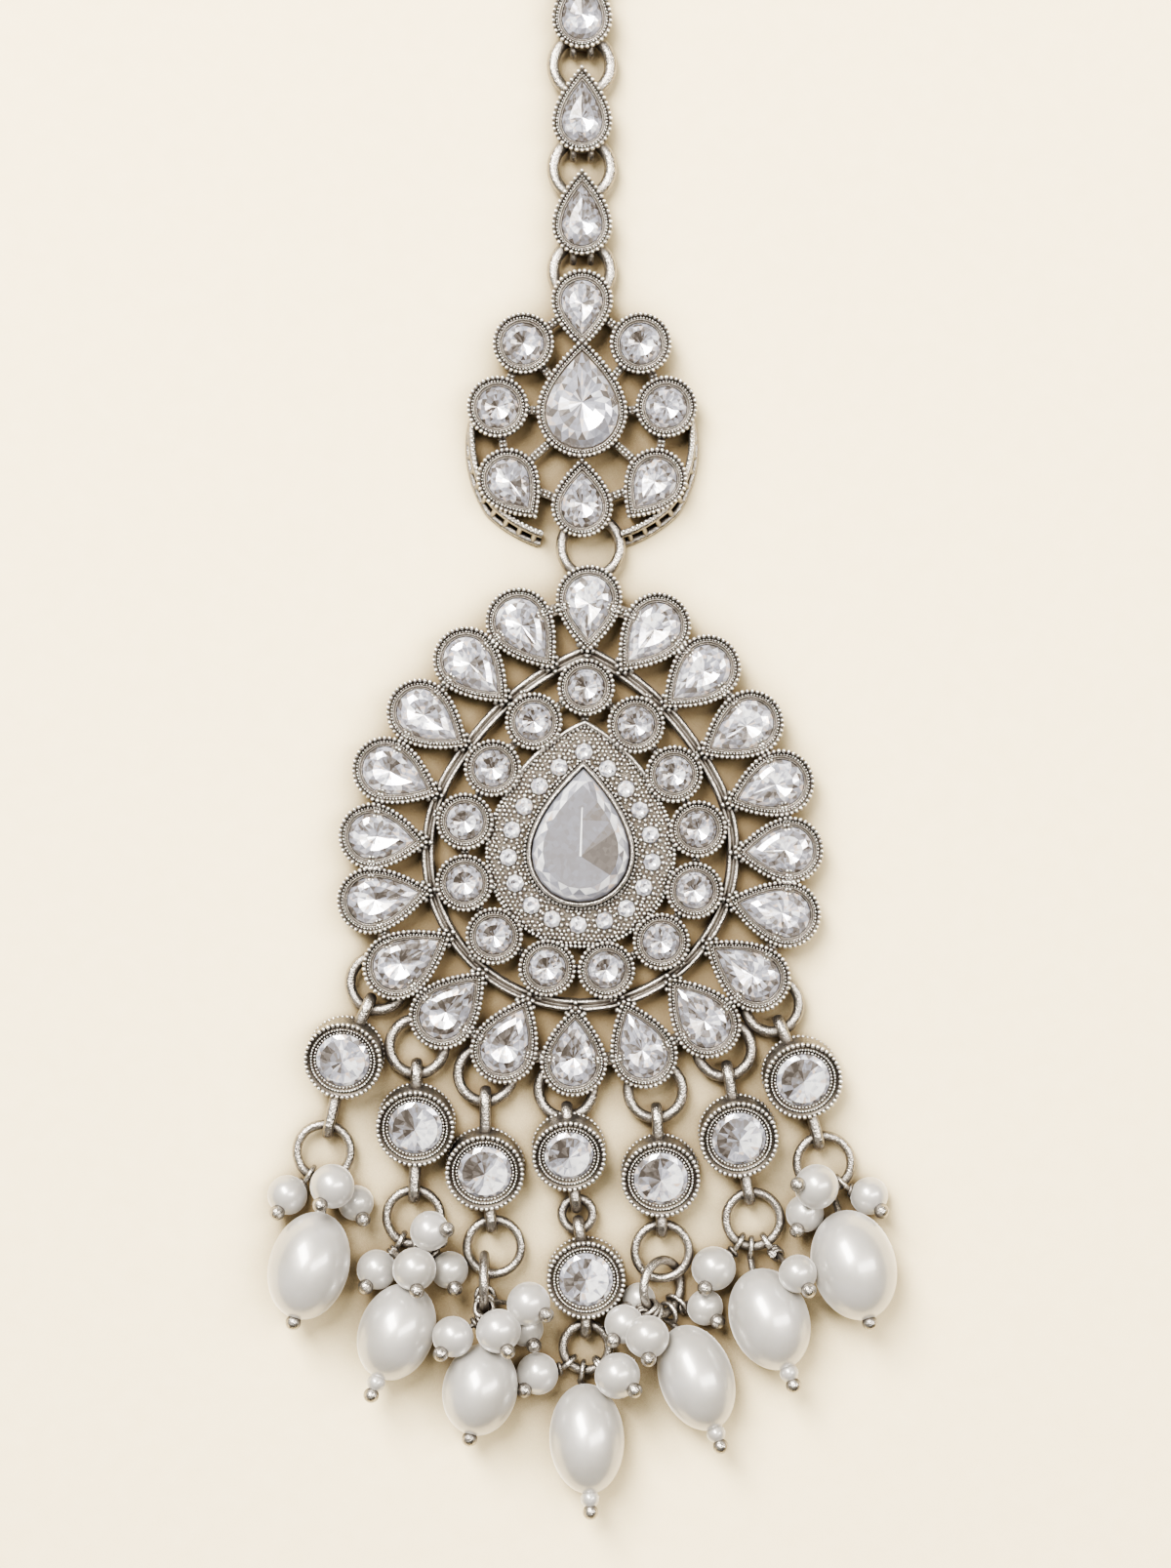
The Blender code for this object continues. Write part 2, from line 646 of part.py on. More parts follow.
def top_loop_centre():
    top = next(h for h in pear_heads() if h["row"] == 0)
    edge = top["place"] + from_top(0) * PEAR_D / 2
    return at_link_level(leaned(edge + from_top(0) * (TOP_LOOP_R - 2 * PENDANT_WIRE_R)))


def strand_loops():
    """The centre of each strand's loop on the pendant's edge."""
    loops = {}
    for strand in STRANDS:
        head = next(h for h in pear_heads()
                    if h["row"] == strand["pear"] and h["side"] == strand["side"])
        reach = PEAR_D / 2 + strand["apart"] * STRAND_LOOP_R
        loops[strand["name"]] = at_link_level(
            leaned(head["place"] + from_bottom(strand["loop"]) * reach))
    return loops


def pendant(finishes):
    lean = Matrix.Rotation(math.radians(PENDANT_LEAN), 4, "Z")
    solids = []
    heads = pear_heads()
    for head in heads:
        placed = lean @ tip_at(head["place"], head["head"] + 180)
        outline = pear_outline(PEAR_D, head["length"])
        solids.append(stone_setting(outline, PEAR_D / 2, SETTING_H, placed))
    for bearing in both_sides(ROUND_BEARINGS):
        placed = lean @ Matrix.Translation(on_teardrop(bearing, ROUND_RING_R, ROUND_PEAK))
        outline = round_outline(ROUND_D, ROUND_SIDES)
        solids.append(stone_setting(outline, ROUND_D / 2, SETTING_H, placed))
    solids.append(frame_band(lean))
    field = teardrop_outline(FIELD_R, FIELD_PEAK)
    solids.append(lofted(field, ({"scale": 1, "z": 0}, {"scale": 1, "z": FIELD_H}), lean))
    for bearing in both_sides(PAVE_BEARINGS):
        place = on_teardrop(bearing, PAVE_RING_R, PAVE_PEAK)
        rows = ({"scale": 1, "z": FIELD_H - PAVE_H / 2},
                {"scale": TABLE, "z": FIELD_H + PAVE_H, "index": CRYSTAL})
        solids.append(lofted(round_outline(PAVE_D, PAVE_SIDES), rows,
                             lean @ Matrix.Translation(place), CRYSTAL))
    middle = pear_outline(CENTRE_D, CENTRE_L, CENTRE_SIDES)
    solids.append(lofted(middle, ({"scale": 1, "z": 0}, {"scale": 1, "z": CENTRE_H}), lean))
    solids.append(flat_hoop(top_loop_centre(), TOP_LOOP_R, PENDANT_WIRE_R))
    for centre in strand_loops().values():
        solids.append(flat_hoop(centre, STRAND_LOOP_R, PENDANT_WIRE_R, STRAND_HOOP_SIDES))
    hollow = pocket(middle, CENTRE_D / 2, CENTRE_RIM, STONE_SEAT_H, CENTRE_H)
    frame = fused("pendant_frame", solids, finishes, [lofted(middle, hollow, lean)])
    stone = loose_stone(middle, CENTRE_D / 2, CENTRE_RIM, STONE_SEAT_H, CENTRE_H, 2 * CROWN, lean)
    return [frame, fused("pendant_centre_stone", [stone], finishes)]


def frame_band(lean):
    """The flat teardrop band that carries the round stones inside and the pears outside."""
    bm = bmesh.new()
    rings = []
    outer = teardrop_outline(FRAME_R + FRAME_BAND / 2, FRAME_PEAK)
    inner = teardrop_outline(FRAME_R - FRAME_BAND / 2, FRAME_PEAK)
    for a, b in zip(outer, inner):
        corners = (Vector((*b, 0)), Vector((*a, 0)), Vector((*a, FRAME_H)), Vector((*b, FRAME_H)))
        rings.append([bm.verts.new(lean @ corner) for corner in corners])
    for i, ring in enumerate(rings):
        band(bm, ring, rings[(i + 1) % len(rings)])
    bmesh.ops.recalc_face_normals(bm, faces=bm.faces)
    return bm


# The fringe


def charm(name, hold, held_r, centre, next_hold, size, tilt, finishes):
    """A deep cup round its front centre, with an eye to the wire above and one to the wire below."""
    up = Vector((0, 0, 1))
    heading = (hold - next_hold).normalized()
    lean = math.radians(tilt)
    back = centre + heading * CHARM_H * math.sin(lean)
    radius = CHARM_D / 2 * size
    back.z = radius * math.sin(lean)
    bearing = math.degrees(math.atan2(heading.x, heading.y))
    placed = tip_at(back, bearing, tilt)
    cup = stone_setting(round_outline(2 * radius), radius, CHARM_H, placed,
                        CHARM_RIM, CHARM_CROWN, CHARM_TABLE)
    solids = [cup]
    low_wall = radius * math.cos(lean) - CHARM_H * math.sin(lean) + LINK_Z * math.tan(lean)
    for wire, wall, held in ((hold, radius, held_r), (next_hold, low_wall, STRAND_WIRE_R)):
        run = centre - wire
        run.z = 0
        eye_r = held + TUNNEL_GAP + EYE_WIRE_R
        length = max(EYE_SHORTEST * eye_r, run.length - wall - eye_r / 2)
        solids.append(eye(wire, wire + run.normalized() * length, up, eye_r, EYE_WIRE_R))
    return fused(name, solids, finishes)


def ring_axes(turn):
    """The two directions of a ring's plane: turn 0 lies flat, 90 stands on edge."""
    angle = math.radians(turn)
    return Vector((math.cos(angle), 0, -math.sin(angle))), Vector((0, -1, 0))


def on_ring(ring, bearing):
    across, down = ring_axes(ring["turn"])
    angle = math.radians(bearing)
    return ring["centre"] + ring["radius"] * (math.cos(angle) * down + math.sin(angle) * across)


def strand_ring(name, ring, finishes):
    across, down = ring_axes(ring["turn"])
    solid = hoop(ring["centre"], across, down, ring["radius"], STRAND_WIRE_R, STRAND_HOOP_SIDES)
    return fused(name, [solid], finishes)


def charm_place(loop, radius, bearing, drop, size=1.0):
    """Where a charm's eye holds a wire loop, and the charm's front centre below it."""
    way = from_bottom(bearing)
    hold = loop + way * radius
    return hold, hold + way * (drop * EYE_R + CHARM_D / 2 * size)


def ring_place(centre, bearing, drop, radius, size=1.0, turn=0.0):
    """Where a charm's lower eye holds a ring's wire, and that ring."""
    way = from_bottom(bearing)
    hold = centre + way * (CHARM_D / 2 * size + drop * EYE_R)
    return hold, {"centre": hold + way * radius, "radius": radius, "turn": turn}


def linked_ring(ring, turn, bearing):
    """A second ring hung on the first, turned out of its plane."""
    lift = RING_R * abs(math.sin(math.radians(turn))) + STRAND_WIRE_R
    wire = on_ring(ring, bearing)
    centre = wire + from_bottom(0) * SECOND_RING_DROP * RING_R
    centre.z = max(lift, LINK_Z)
    return {"centre": centre, "radius": RING_R, "turn": turn}


def eye_on_ring(ring, bearing, run_share):
    """A pin's eye round a ring's wire, and the point where the pin leaves it."""
    across, down = ring_axes(ring["turn"])
    normal = down.cross(across).normalized()
    wire = on_ring(ring, bearing)
    out = (wire - ring["centre"]).normalized()
    end = wire + out * run_share * PIN_EYE_R
    return eye(wire, end, normal, PIN_EYE_R, PIN_WIRE_R, PIN_SIDES), end + out * PIN_EYE_R


def oval(strand, row, ring, finishes):
    up = Vector((0, 0, 1))
    half_d = OVAL_D * row["d"] / 2
    half_l = OVAL_L * row["l"] / 2
    pitch = math.radians(OVAL_PITCH)
    axis = from_bottom(row["lean"]) * math.cos(pitch) + up * math.sin(pitch)
    top = on_ring(ring, 0) + from_bottom(row["bearing"]) * row["neck"] * PIN_EYE_R
    rest_z = math.hypot(half_l * math.sin(pitch), half_d * math.cos(pitch))
    top.z = rest_z - half_l * math.sin(pitch)
    centre = top + axis * half_l
    end = centre + axis * half_l
    pin_eye, leave = eye_on_ring(ring, row["eye"], 1.5 * EYE_SHORTEST)
    solids = [ball(centre, 2 * half_d, PEARL, SIDES, PEARL_RINGS, half_l / half_d, axis),
              pin_eye,
              rod(leave, top + axis * half_l / 4, 1.3 * PIN_WIRE_R, PIN_SIDES)]
    if row["seed"]:
        solids.append(ball(end + axis * SEED_D / 4, SEED_D, PEARL, *BALL_SIDES))
        end = end + axis * 3 * SEED_D / 4
    solids.append(ball(end + axis * BALL_D / 4, BALL_D, METAL, *BALL_SIDES))
    return fused("oval_" + strand, solids, finishes)


def cluster(strand, ring, finishes):
    """The small pearls of a strand: one eye on the ring, a hub, and a pin out to each pearl."""
    up = Vector((0, 0, 1))
    pin_eye, leave = eye_on_ring(ring, CLUSTER_EYES[strand], EYE_SHORTEST)
    over = LINK_Z + PIN_EYE_R + PIN_WIRE_R + GAP
    hub = Vector((leave.x, leave.y, max(leave.z, over + 2 * PIN_WIRE_R)))
    solids = [pin_eye]
    if hub.z > leave.z:
        solids.append(rod(leave - up * PIN_WIRE_R, hub + up * PIN_WIRE_R, 1.5 * PIN_WIRE_R,
                          PIN_SIDES))
    for row in SMALL_PEARLS:
        if row["strand"] != strand:
            continue
        d = PEARL_D * row["d"]
        place = ring["centre"] + from_bottom(row["bearing"]) * row["reach"] * (RING_R + PEARL_D / 2)
        place.z = d / 2 + over * row["level"]
        rise = math.radians(BALL_RISE)
        way = from_bottom(row["end"]) * math.cos(rise) + up * math.sin(rise)
        solids.append(ball(place, d, PEARL, SIDES, PEARL_RINGS - 1, 1.0, way))
        solids.append(rod(hub, place + up * d / 5, PIN_WIRE_R, PIN_SIDES - 1))
        solids.append(ball(place + way * (d + BALL_D / 2) / 2, BALL_D, METAL, *END_SIDES, 1.0, way))
    return fused("cluster_" + strand, solids, finishes)


def fringe(finishes):
    nodes = []
    loops = strand_loops()
    ovals = {row["name"]: row for row in OVALS}
    for strand in STRANDS:
        name = strand["name"]
        size = D1_SIZE if name == "d" else 1.0
        hold, centre = charm_place(loops[name], STRAND_LOOP_R, strand["charm"],
                                   strand["charm_drop"], size)
        if name == "d":
            next_hold, between = ring_place(centre, strand["ring"], strand["ring_drop"],
                                            SMALL_RING_R, size)
            nodes.append(charm("charm_d1", hold, PENDANT_WIRE_R, centre, next_hold, size,
                               strand["tilt"], finishes))
            nodes.append(strand_ring("ring_d_between", between, finishes))
            hold, centre = charm_place(between["centre"], SMALL_RING_R, strand["ring"], D2_DROP)
            next_hold, ring = ring_place(centre, 0, strand["ring_drop"], D2_RING * RING_R)
            nodes.append(charm("charm_d2", hold, STRAND_WIRE_R, centre, next_hold, 1.0,
                               D2_TILT, finishes))
            nodes.append(strand_ring("ring_d", ring, finishes))
        else:
            next_hold, ring = ring_place(centre, strand["ring"], strand["ring_drop"], RING_R)
            nodes.append(charm("charm_" + name, hold, PENDANT_WIRE_R, centre, next_hold, size,
                               strand["tilt"], finishes))
            double = SECOND_RINGS.get(name)
            first = f"ring_{name}1" if double else f"ring_{name}"
            nodes.append(strand_ring(first, ring, finishes))
            if double:
                ring = linked_ring(ring, double["turn"], double["bearing"])
                nodes.append(strand_ring(f"ring_{name}2", ring, finishes))
        nodes.append(oval(name, ovals[name], ring, finishes))
        nodes.append(cluster(name, ring, finishes))
    return nodes


def centre_on_origin(nodes):
    """Parents all to one empty that puts the whole's box over the origin, resting on z = 0."""
    points = [node.matrix_world @ v.co for node in nodes for v in node.data.vertices]
    low = Vector([min(p[k] for p in points) for k in range(3)])
    high = Vector([max(p[k] for p in points) for k in range(3)])
    base = bpy.data.objects.new("maang_tikka", None)
    bpy.context.scene.collection.objects.link(base)
    base.location = (-(low.x + high.x) / 2, -(low.y + high.y) / 2, -low.z)
    for node in nodes:
        node.parent = base


def main():
    clear_scene()
    finishes = [
        material("silver", (0.74, 0.72, 0.68), 1.0, 0.28),
        material("crystal", (0.86, 0.87, 0.92), 0.0, 0.06),
        material("pearl", (0.93, 0.91, 0.88), 0.0, 0.22),
    ]
    top_loop = top_loop_centre()
    leaf_bottom = top_loop + from_top(0) * (TOP_LOOP_R - LEAF_HOLD)
    leaf_bottom.x += LEAF_SHIFT
    reach = (LEAF_CENTRE_D + LEAF_STONE_D * (1 + LEAF_STONES[-1]["apart"])) / 2
    leaf_centre = leaf_bottom + from_top(0) * (LEAF_STONE_D / 2 + reach)
    leaf_centre.z = 0
    top_reach = (LEAF_CENTRE_D + LEAF_STONE_D * (1 + LEAF_STONES[0]["apart"])) / 2
    top_ring = at_link_level(leaf_centre + from_top(0) * (top_reach + LEAF_STONE_D / 2
                                                          + CHAIN_RING_R - 2 * CHAIN_RING_REACH))
    nodes = pendant(finishes)
    nodes += leaf(leaf_centre, top_ring, top_loop, finishes)
    nodes += chain(top_ring, finishes)
    nodes += fringe(finishes)
    for node in nodes:
        node.data.shade_flat()
    centre_on_origin(nodes)


main()
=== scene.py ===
# %% [markdown]
# # A maang tikka, lying on pale paper
# A maang tikka is worn on the parting of the hair. A chain runs down to a leaf of stones and a
# large pendant, and strands of charms and pearls hang from the pendant's edge. Here it lies flat,
# seen from above. Each cell adds one thing, and each markdown cell says what it is and why it is
# made that way.

import math

import bpy
import numpy as np
from mathutils import Matrix, Vector


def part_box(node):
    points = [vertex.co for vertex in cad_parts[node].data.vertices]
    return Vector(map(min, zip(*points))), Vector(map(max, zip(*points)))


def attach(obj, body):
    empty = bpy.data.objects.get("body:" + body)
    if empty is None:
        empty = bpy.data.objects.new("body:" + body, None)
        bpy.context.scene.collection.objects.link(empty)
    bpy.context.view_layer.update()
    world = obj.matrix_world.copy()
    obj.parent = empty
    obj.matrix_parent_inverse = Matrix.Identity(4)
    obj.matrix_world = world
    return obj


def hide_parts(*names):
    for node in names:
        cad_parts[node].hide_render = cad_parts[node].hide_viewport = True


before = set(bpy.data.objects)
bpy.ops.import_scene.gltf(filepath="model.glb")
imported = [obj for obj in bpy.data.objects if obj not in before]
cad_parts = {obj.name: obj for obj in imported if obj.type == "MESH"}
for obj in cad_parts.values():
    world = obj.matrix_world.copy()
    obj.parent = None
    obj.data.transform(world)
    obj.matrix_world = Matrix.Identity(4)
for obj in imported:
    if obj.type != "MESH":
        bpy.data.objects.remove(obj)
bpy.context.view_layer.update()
MM = 0.001
print("solids loaded:", len(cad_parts))

# %% [markdown]
# ## Wires, play and level
# The piece is held together by wires in eyes. A wire needs a little play in its eye, and an eye
# has to clear the surface that it lies on, so three sizes give the level of every link. All sizes
# are in millimetres from the pendant's middle. The visible wires are thicker than those of the
# solids, because they look that thick on the real piece. The thinner solids keep the play.

# %% Wires and the level of the links
PENDANT_WIRE, STRAND_WIRE, EYE_WIRE, PLAY = 0.5, 0.35, 0.42, 0.25
CHAIN_SEEN, LOOP_SEEN, RING_SEEN = 0.62, 0.54, 0.46
EYE_R = PENDANT_WIRE + PLAY + EYE_WIRE
LINK_Z = EYE_R + EYE_WIRE
print("links lie at", round(LINK_Z, 2), "mm")

# %% [markdown]
# ## Directions and outlines
# Most outlines here are circles, pears and one big teardrop. They could be drawn as curves by
# hand, but a function that returns points lets a rim, a row of beads and a stone all follow the
# same line at their own distances.

# %% Directions
UP = Vector((0, 0, 1))
NORTH = Vector((0, 1, 0))
SHOULDER, PEAK_POWER = 60.0, 1.9


def from_top(bearing):
    angle = math.radians(bearing)
    return Vector((math.sin(angle), math.cos(angle), 0.0))


def from_bottom(bearing):
    angle = math.radians(bearing)
    return Vector((math.sin(angle), -math.cos(angle), 0.0))


def on_teardrop(bearing, radius, peak):
    """A circle that rises to a peak at the top, from the shoulder's bearing on."""
    lift = max(0.0, 1.0 - abs(bearing) / SHOULDER)
    return from_top(bearing) * radius * (1.0 + peak * lift**PEAK_POWER)


def leaned(point):
    return Matrix.Rotation(math.radians(PENDANT_LEAN), 4, "Z") @ point


def tip_at(place, tip_bearing, tilt=0.0):
    turned = Matrix.Rotation(math.radians(-tip_bearing), 4, "Z")
    return Matrix.Translation(place) @ turned @ Matrix.Rotation(math.radians(tilt), 4, "X")


def both_sides(bearings):
    return [b * side for b in bearings for side in (1, -1) if side > 0 or b not in (0, 180)]


print("bearings 0, 40 and 180 on both sides:", both_sides((0, 40, 180)))

# %% Outlines of stones
FLANK, BOW = 1.42, 0.40


def round_line(radius, count):
    a = np.arange(count) * math.tau / count + math.pi / 2
    return np.stack([radius * np.cos(a), radius * np.sin(a)], 1)


def even_count(line, count):
    """The same closed line, cut into equal steps from its first point."""
    closed = np.concatenate([line, line[:1]])
    run = np.concatenate([[0], np.cumsum(np.linalg.norm(np.diff(closed, axis=0), axis=1))])
    at = np.arange(count) * run[-1] / count
    return np.stack([np.interp(at, run, closed[:, k]) for k in range(closed.shape[1])], 1)


def even_points(line, pitch):
    closed = np.concatenate([line, line[:1]])
    length = np.linalg.norm(np.diff(closed, axis=0), axis=1).sum()
    return even_count(line, max(3, int(round(length / pitch))))


def pear_line(radius, tip, count):
    """A pear with its round head on the origin and full, bowed flanks that meet at the tip."""
    flank = math.acos(min(1.0, radius / tip)) * FLANK
    arc = np.linspace(flank, math.tau - flank, 90)
    head = np.stack([-radius * np.sin(arc), radius * np.cos(arc)], 1)
    end, along = head[-1], np.array([-math.cos(arc[-1]), -math.sin(arc[-1])])
    along = along if along[1] > 0 else -along
    top = np.array([0.0, tip])
    control = end + along * np.linalg.norm(top - end) * BOW
    t = (np.arange(1, 31) / 30)[:, None]
    right = (1 - t) ** 2 * end + 2 * t * (1 - t) * control + t**2 * top
    left = (right[:-1] * np.array([-1, 1]))[::-1]
    return even_count(np.concatenate([right[-1:], left, head, right[:-1]]), count)


def teardrop_line(radius, peak, count):
    bearings = [(-360.0 * i / count + 180.0) % 360.0 - 180.0 for i in range(count)]
    return np.array([on_teardrop(b, radius, peak).xy for b in bearings])


def at_height(line, z):
    """A flat line of points, raised to the height z."""
    return np.concatenate([line, np.full((len(line), 1), z)], 1)


print("points 1 mm apart round a small pear:", len(even_points(pear_line(3, 6, 90), 1)))

# %% [markdown]
# ## A pile of faces
# Jewellery is hundreds of small forms soldered together. Joining objects one by one is slow, so
# every piece gathers its points and faces in one pile, and the pile becomes one mesh at the end.
# A face keeps its finish and, on a stone, the grey of its facet.

# %% The pile
class Pile:
    def __init__(self):
        self.points, self.faces, self.slots, self.smooth, self.shade = [], [], [], [], []
        self.count = 0

    def add(self, points, faces, slot=0, smooth=True, shade=None):
        self.points.append(np.asarray(points, float).reshape(-1, 3))
        self.faces += [tuple(i + self.count for i in face) for face in faces]
        self.slots += [slot] * len(faces)
        self.smooth += [smooth] * len(faces)
        self.shade += list(shade) if shade is not None else [0.5] * len(faces)
        self.count += len(self.points[-1])

    def piece(self, name, solid):
        """Make the pile one object that takes the place of a solid, or of a part of it."""
        mesh = bpy.data.meshes.new(name)
        points = np.concatenate(self.points) * MM + np.array(MIDDLE)
        mesh.from_pydata(points.tolist(), [], self.faces)
        mesh.polygons.foreach_set("material_index", self.slots)
        mesh.polygons.foreach_set("use_smooth", self.smooth)
        facet = mesh.attributes.new("facet", "FLOAT", "FACE")
        facet.data.foreach_set("value", np.array(self.shade, np.float32))
        for surface in FINISHES:
            mesh.materials.append(surface)
        obj = bpy.data.objects.new(name, mesh)
        bpy.context.scene.collection.objects.link(obj)
        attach(obj, "root")
        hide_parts(solid)


def placed(points, matrix):
    m = np.array(matrix)
    return np.asarray(points, float) @ m[:3, :3].T + m[:3, 3]


print("a new pile holds", Pile().count, "points")

# %% [markdown]
# Nearly everything is one of four surfaces: a band through outlines at rising heights, a lid, a
# wire along a path, and a row of grains. A bend or a bevel modifier could make some of them, but
# plain faces take their finish one by one and need no modifier later.

# %% Surfaces that the pile is made of
def bands(pile, rings, slot=0, smooth=True, closed=True):
    """A surface through rings of points, each ring closed on itself unless told otherwise."""
    n = len(rings[0])
    turns = n if closed else n - 1
    faces = [(k * n + i, k * n + (i + 1) % n, (k + 1) * n + (i + 1) % n, (k + 1) * n + i)
             for k in range(len(rings) - 1) for i in range(turns)]
    pile.add(np.concatenate(rings), faces, slot, smooth)


def lid(pile, ring, slot=0, smooth=False, down=False, shade=None):
    n = len(ring)
    order = tuple(range(n - 1, -1, -1)) if down else tuple(range(n))
    pile.add(ring, [order], slot, smooth, shade)


def tube(pile, path, radius, sides=10, closed=True, slot=0, normal=None, wide=1.0):
    """A wire along a path of points. Wide stretches it along the normal, as a strap."""
    path = np.asarray(path, float)
    count = len(path)
    rings = []
    for i in range(count):
        a = path[i - 1] if closed or i else path[0]
        b = path[(i + 1) % count] if closed or i < count - 1 else path[-1]
        along = (b - a) / np.linalg.norm(b - a)
        n = np.asarray(normal if normal is not None else (0, 0, 1), float)
        if abs(along @ n) > 0.9:
            n = np.array([1.0, 0, 0])
        out = np.cross(along, n)
        out /= np.linalg.norm(out)
        n = np.cross(out, along)
        t = np.arange(sides) * math.tau / sides
        rings.append(path[i] + radius * (np.cos(t)[:, None] * out + wide * np.sin(t)[:, None] * n))
    if closed:
        rings.append(rings[0])
    bands(pile, rings, slot)
    if not closed:
        lid(pile, rings[0], slot, down=True)
        lid(pile, rings[-1], slot)


def loop_path(centre, across, down, radius, count=44):
    t = np.arange(count) * math.tau / count
    return (np.array(centre) + radius * (np.cos(t)[:, None] * np.array(across)
                                         + np.sin(t)[:, None] * np.array(down)))


def eye_path(start, end, up, radius, turns=9):
    run = (end - start).normalized()
    path = []
    for centre, first in ((start, 90.0), (end, -90.0)):
        for i in range(turns + 1):
            angle = math.radians(first + 180.0 * i / turns)
            path.append(centre + radius * (math.cos(angle) * run + math.sin(angle) * up))
    return [tuple(p) for p in path]


print("an eye's path has", len(eye_path(NORTH, 2 * NORTH, UP, 1.0)), "points")

# %% [markdown]
# Grains of metal are the look of this piece. A sphere for each would cost several times the faces
# and only its top shows. So one small open dome is copied in a single step, each a little larger
# or smaller than the next.

# %% Beads: one small dome, copied along lines
def dome(sides=8, stacks=4, low=-0.6):
    heights = np.linspace(math.asin(low), math.pi / 2, stacks + 1)[:-1]
    points = [(math.cos(h) * math.cos(a), math.cos(h) * math.sin(a), math.sin(h))
              for h in heights for a in np.arange(sides) * math.tau / sides] + [(0, 0, 1)]
    faces = [(k * sides + i, k * sides + (i + 1) % sides, (k + 1) * sides + (i + 1) % sides,
              (k + 1) * sides + i) for k in range(stacks - 1) for i in range(sides)]
    top = stacks * sides
    faces += [((stacks - 1) * sides + i, (stacks - 1) * sides + (i + 1) % sides, top)
              for i in range(sides)]
    return np.array(points), faces


DOME_POINTS, DOME_FACES = dome()
SEED_OF_BEADS = np.random.default_rng(7)


def beads(pile, places, radius, matrix=None, slot=0):
    """Grains raised in the metal, no two quite alike."""
    turn = np.array(matrix)[:3, :3] if matrix is not None else np.eye(3)
    places = placed(places, matrix) if matrix is not None else np.asarray(places, float)
    size = radius * SEED_OF_BEADS.uniform(0.86, 1.1, len(places))
    shape = DOME_POINTS @ turn.T
    points = (places[:, None, :] + size[:, None, None] * shape[None]).reshape(-1, 3)
    step = len(DOME_POINTS)
    faces = [tuple(i + k * step for i in face) for k in range(len(places)) for face in DOME_FACES]
    pile.add(points, faces, slot)


def ball(pile, centre, radius, axis=UP, stretch=1.0, slot=0, around=32, rows=18):
    heights = np.linspace(-math.pi / 2, math.pi / 2, rows + 1)[1:-1]
    turn = np.array(Vector(axis).to_track_quat("Z", "Y").to_matrix())
    t = np.arange(around) * math.tau / around
    rings = [np.stack([np.cos(h) * np.cos(t), np.cos(h) * np.sin(t),
                       np.full(around, math.sin(h) * stretch)], 1) for h in heights]
    rings = [np.array(centre) + radius * ring @ turn.T for ring in rings]
    bands(pile, rings, slot)
    for ring, end, down in ((rings[0], -1, True), (rings[-1], 1, False)):
        pole = np.array(centre) + radius * np.array([0, 0, end * stretch]) @ turn.T
        faces = [((i + 1) % around, i, around) if down else (i, (i + 1) % around, around)
                 for i in range(around)]
        pile.add(np.concatenate([ring, pole[None]]), faces, slot)


print("one bead has", len(DOME_FACES), "faces")

# %% [markdown]
# ## The pendant's heads and the strands' start
# Twenty pears point inwards from a teardrop frame, and each strand hangs from a loop under one of
# them. Everything is measured from the pendant's middle, by the bearings of stones and loops as a
# setter would mark them, because the real pendant isn't evenly divided either.

# %% The outer pears: bearing of the tip, bearing of the head, length
PENDANT_LEAN = -1.9
FRAME_R, FRAME_PEAK = 14.85, 0.306
PEAR_D, PEAR_L = 6.4, 8.9
STRAND_LOOP_R = 2.65
OUTER_PEARS = (
    {"tip": 0, "head": 0, "length": 0.95},
    {"tip": 10.3, "head": 38, "length": 1.0},
    {"tip": 27.9, "head": 46, "length": 1.0},
    {"tip": 48.7, "head": 56, "length": 1.0},
    {"tip": 69.5, "head": 67, "length": 1.0},
    {"tip": 88, "head": 85.5, "length": 0.97},
    {"tip": 106, "head": 101.5, "length": 1.04},
    {"tip": 123.8, "head": 123, "length": 1.05},
    {"tip": 142.9, "head": 138.5, "length": 1.02},
    {"tip": 162, "head": 157, "length": 1.0},
    {"tip": 180, "head": 180, "length": 0.98},
)


def pear_heads():
    heads = []
    for number, row in enumerate(OUTER_PEARS):
        for side in (1, -1):
            if side < 0 and row["tip"] in (0, 180):
                continue
            tip = on_teardrop(side * row["tip"], FRAME_R, FRAME_PEAK)
            length = PEAR_L * row["length"]
            place = tip + from_top(side * row["head"]) * (length - PEAR_D / 2)
            heads.append({"row": number, "side": side, "place": place, "length": length,
                          "head": side * row["head"]})
    return heads


def at_link_level(place):
    return Vector((place.x, place.y, LINK_Z))


def strand_loop(strand):
    head = next(h for h in pear_heads()
                if h["row"] == strand["pear"] and h["side"] == strand["side"])
    reach = PEAR_D / 2 + strand["apart"] * STRAND_LOOP_R
    return at_link_level(leaned(head["place"] + from_bottom(strand["loop"]) * reach))


print("outer pears:", len(pear_heads()))
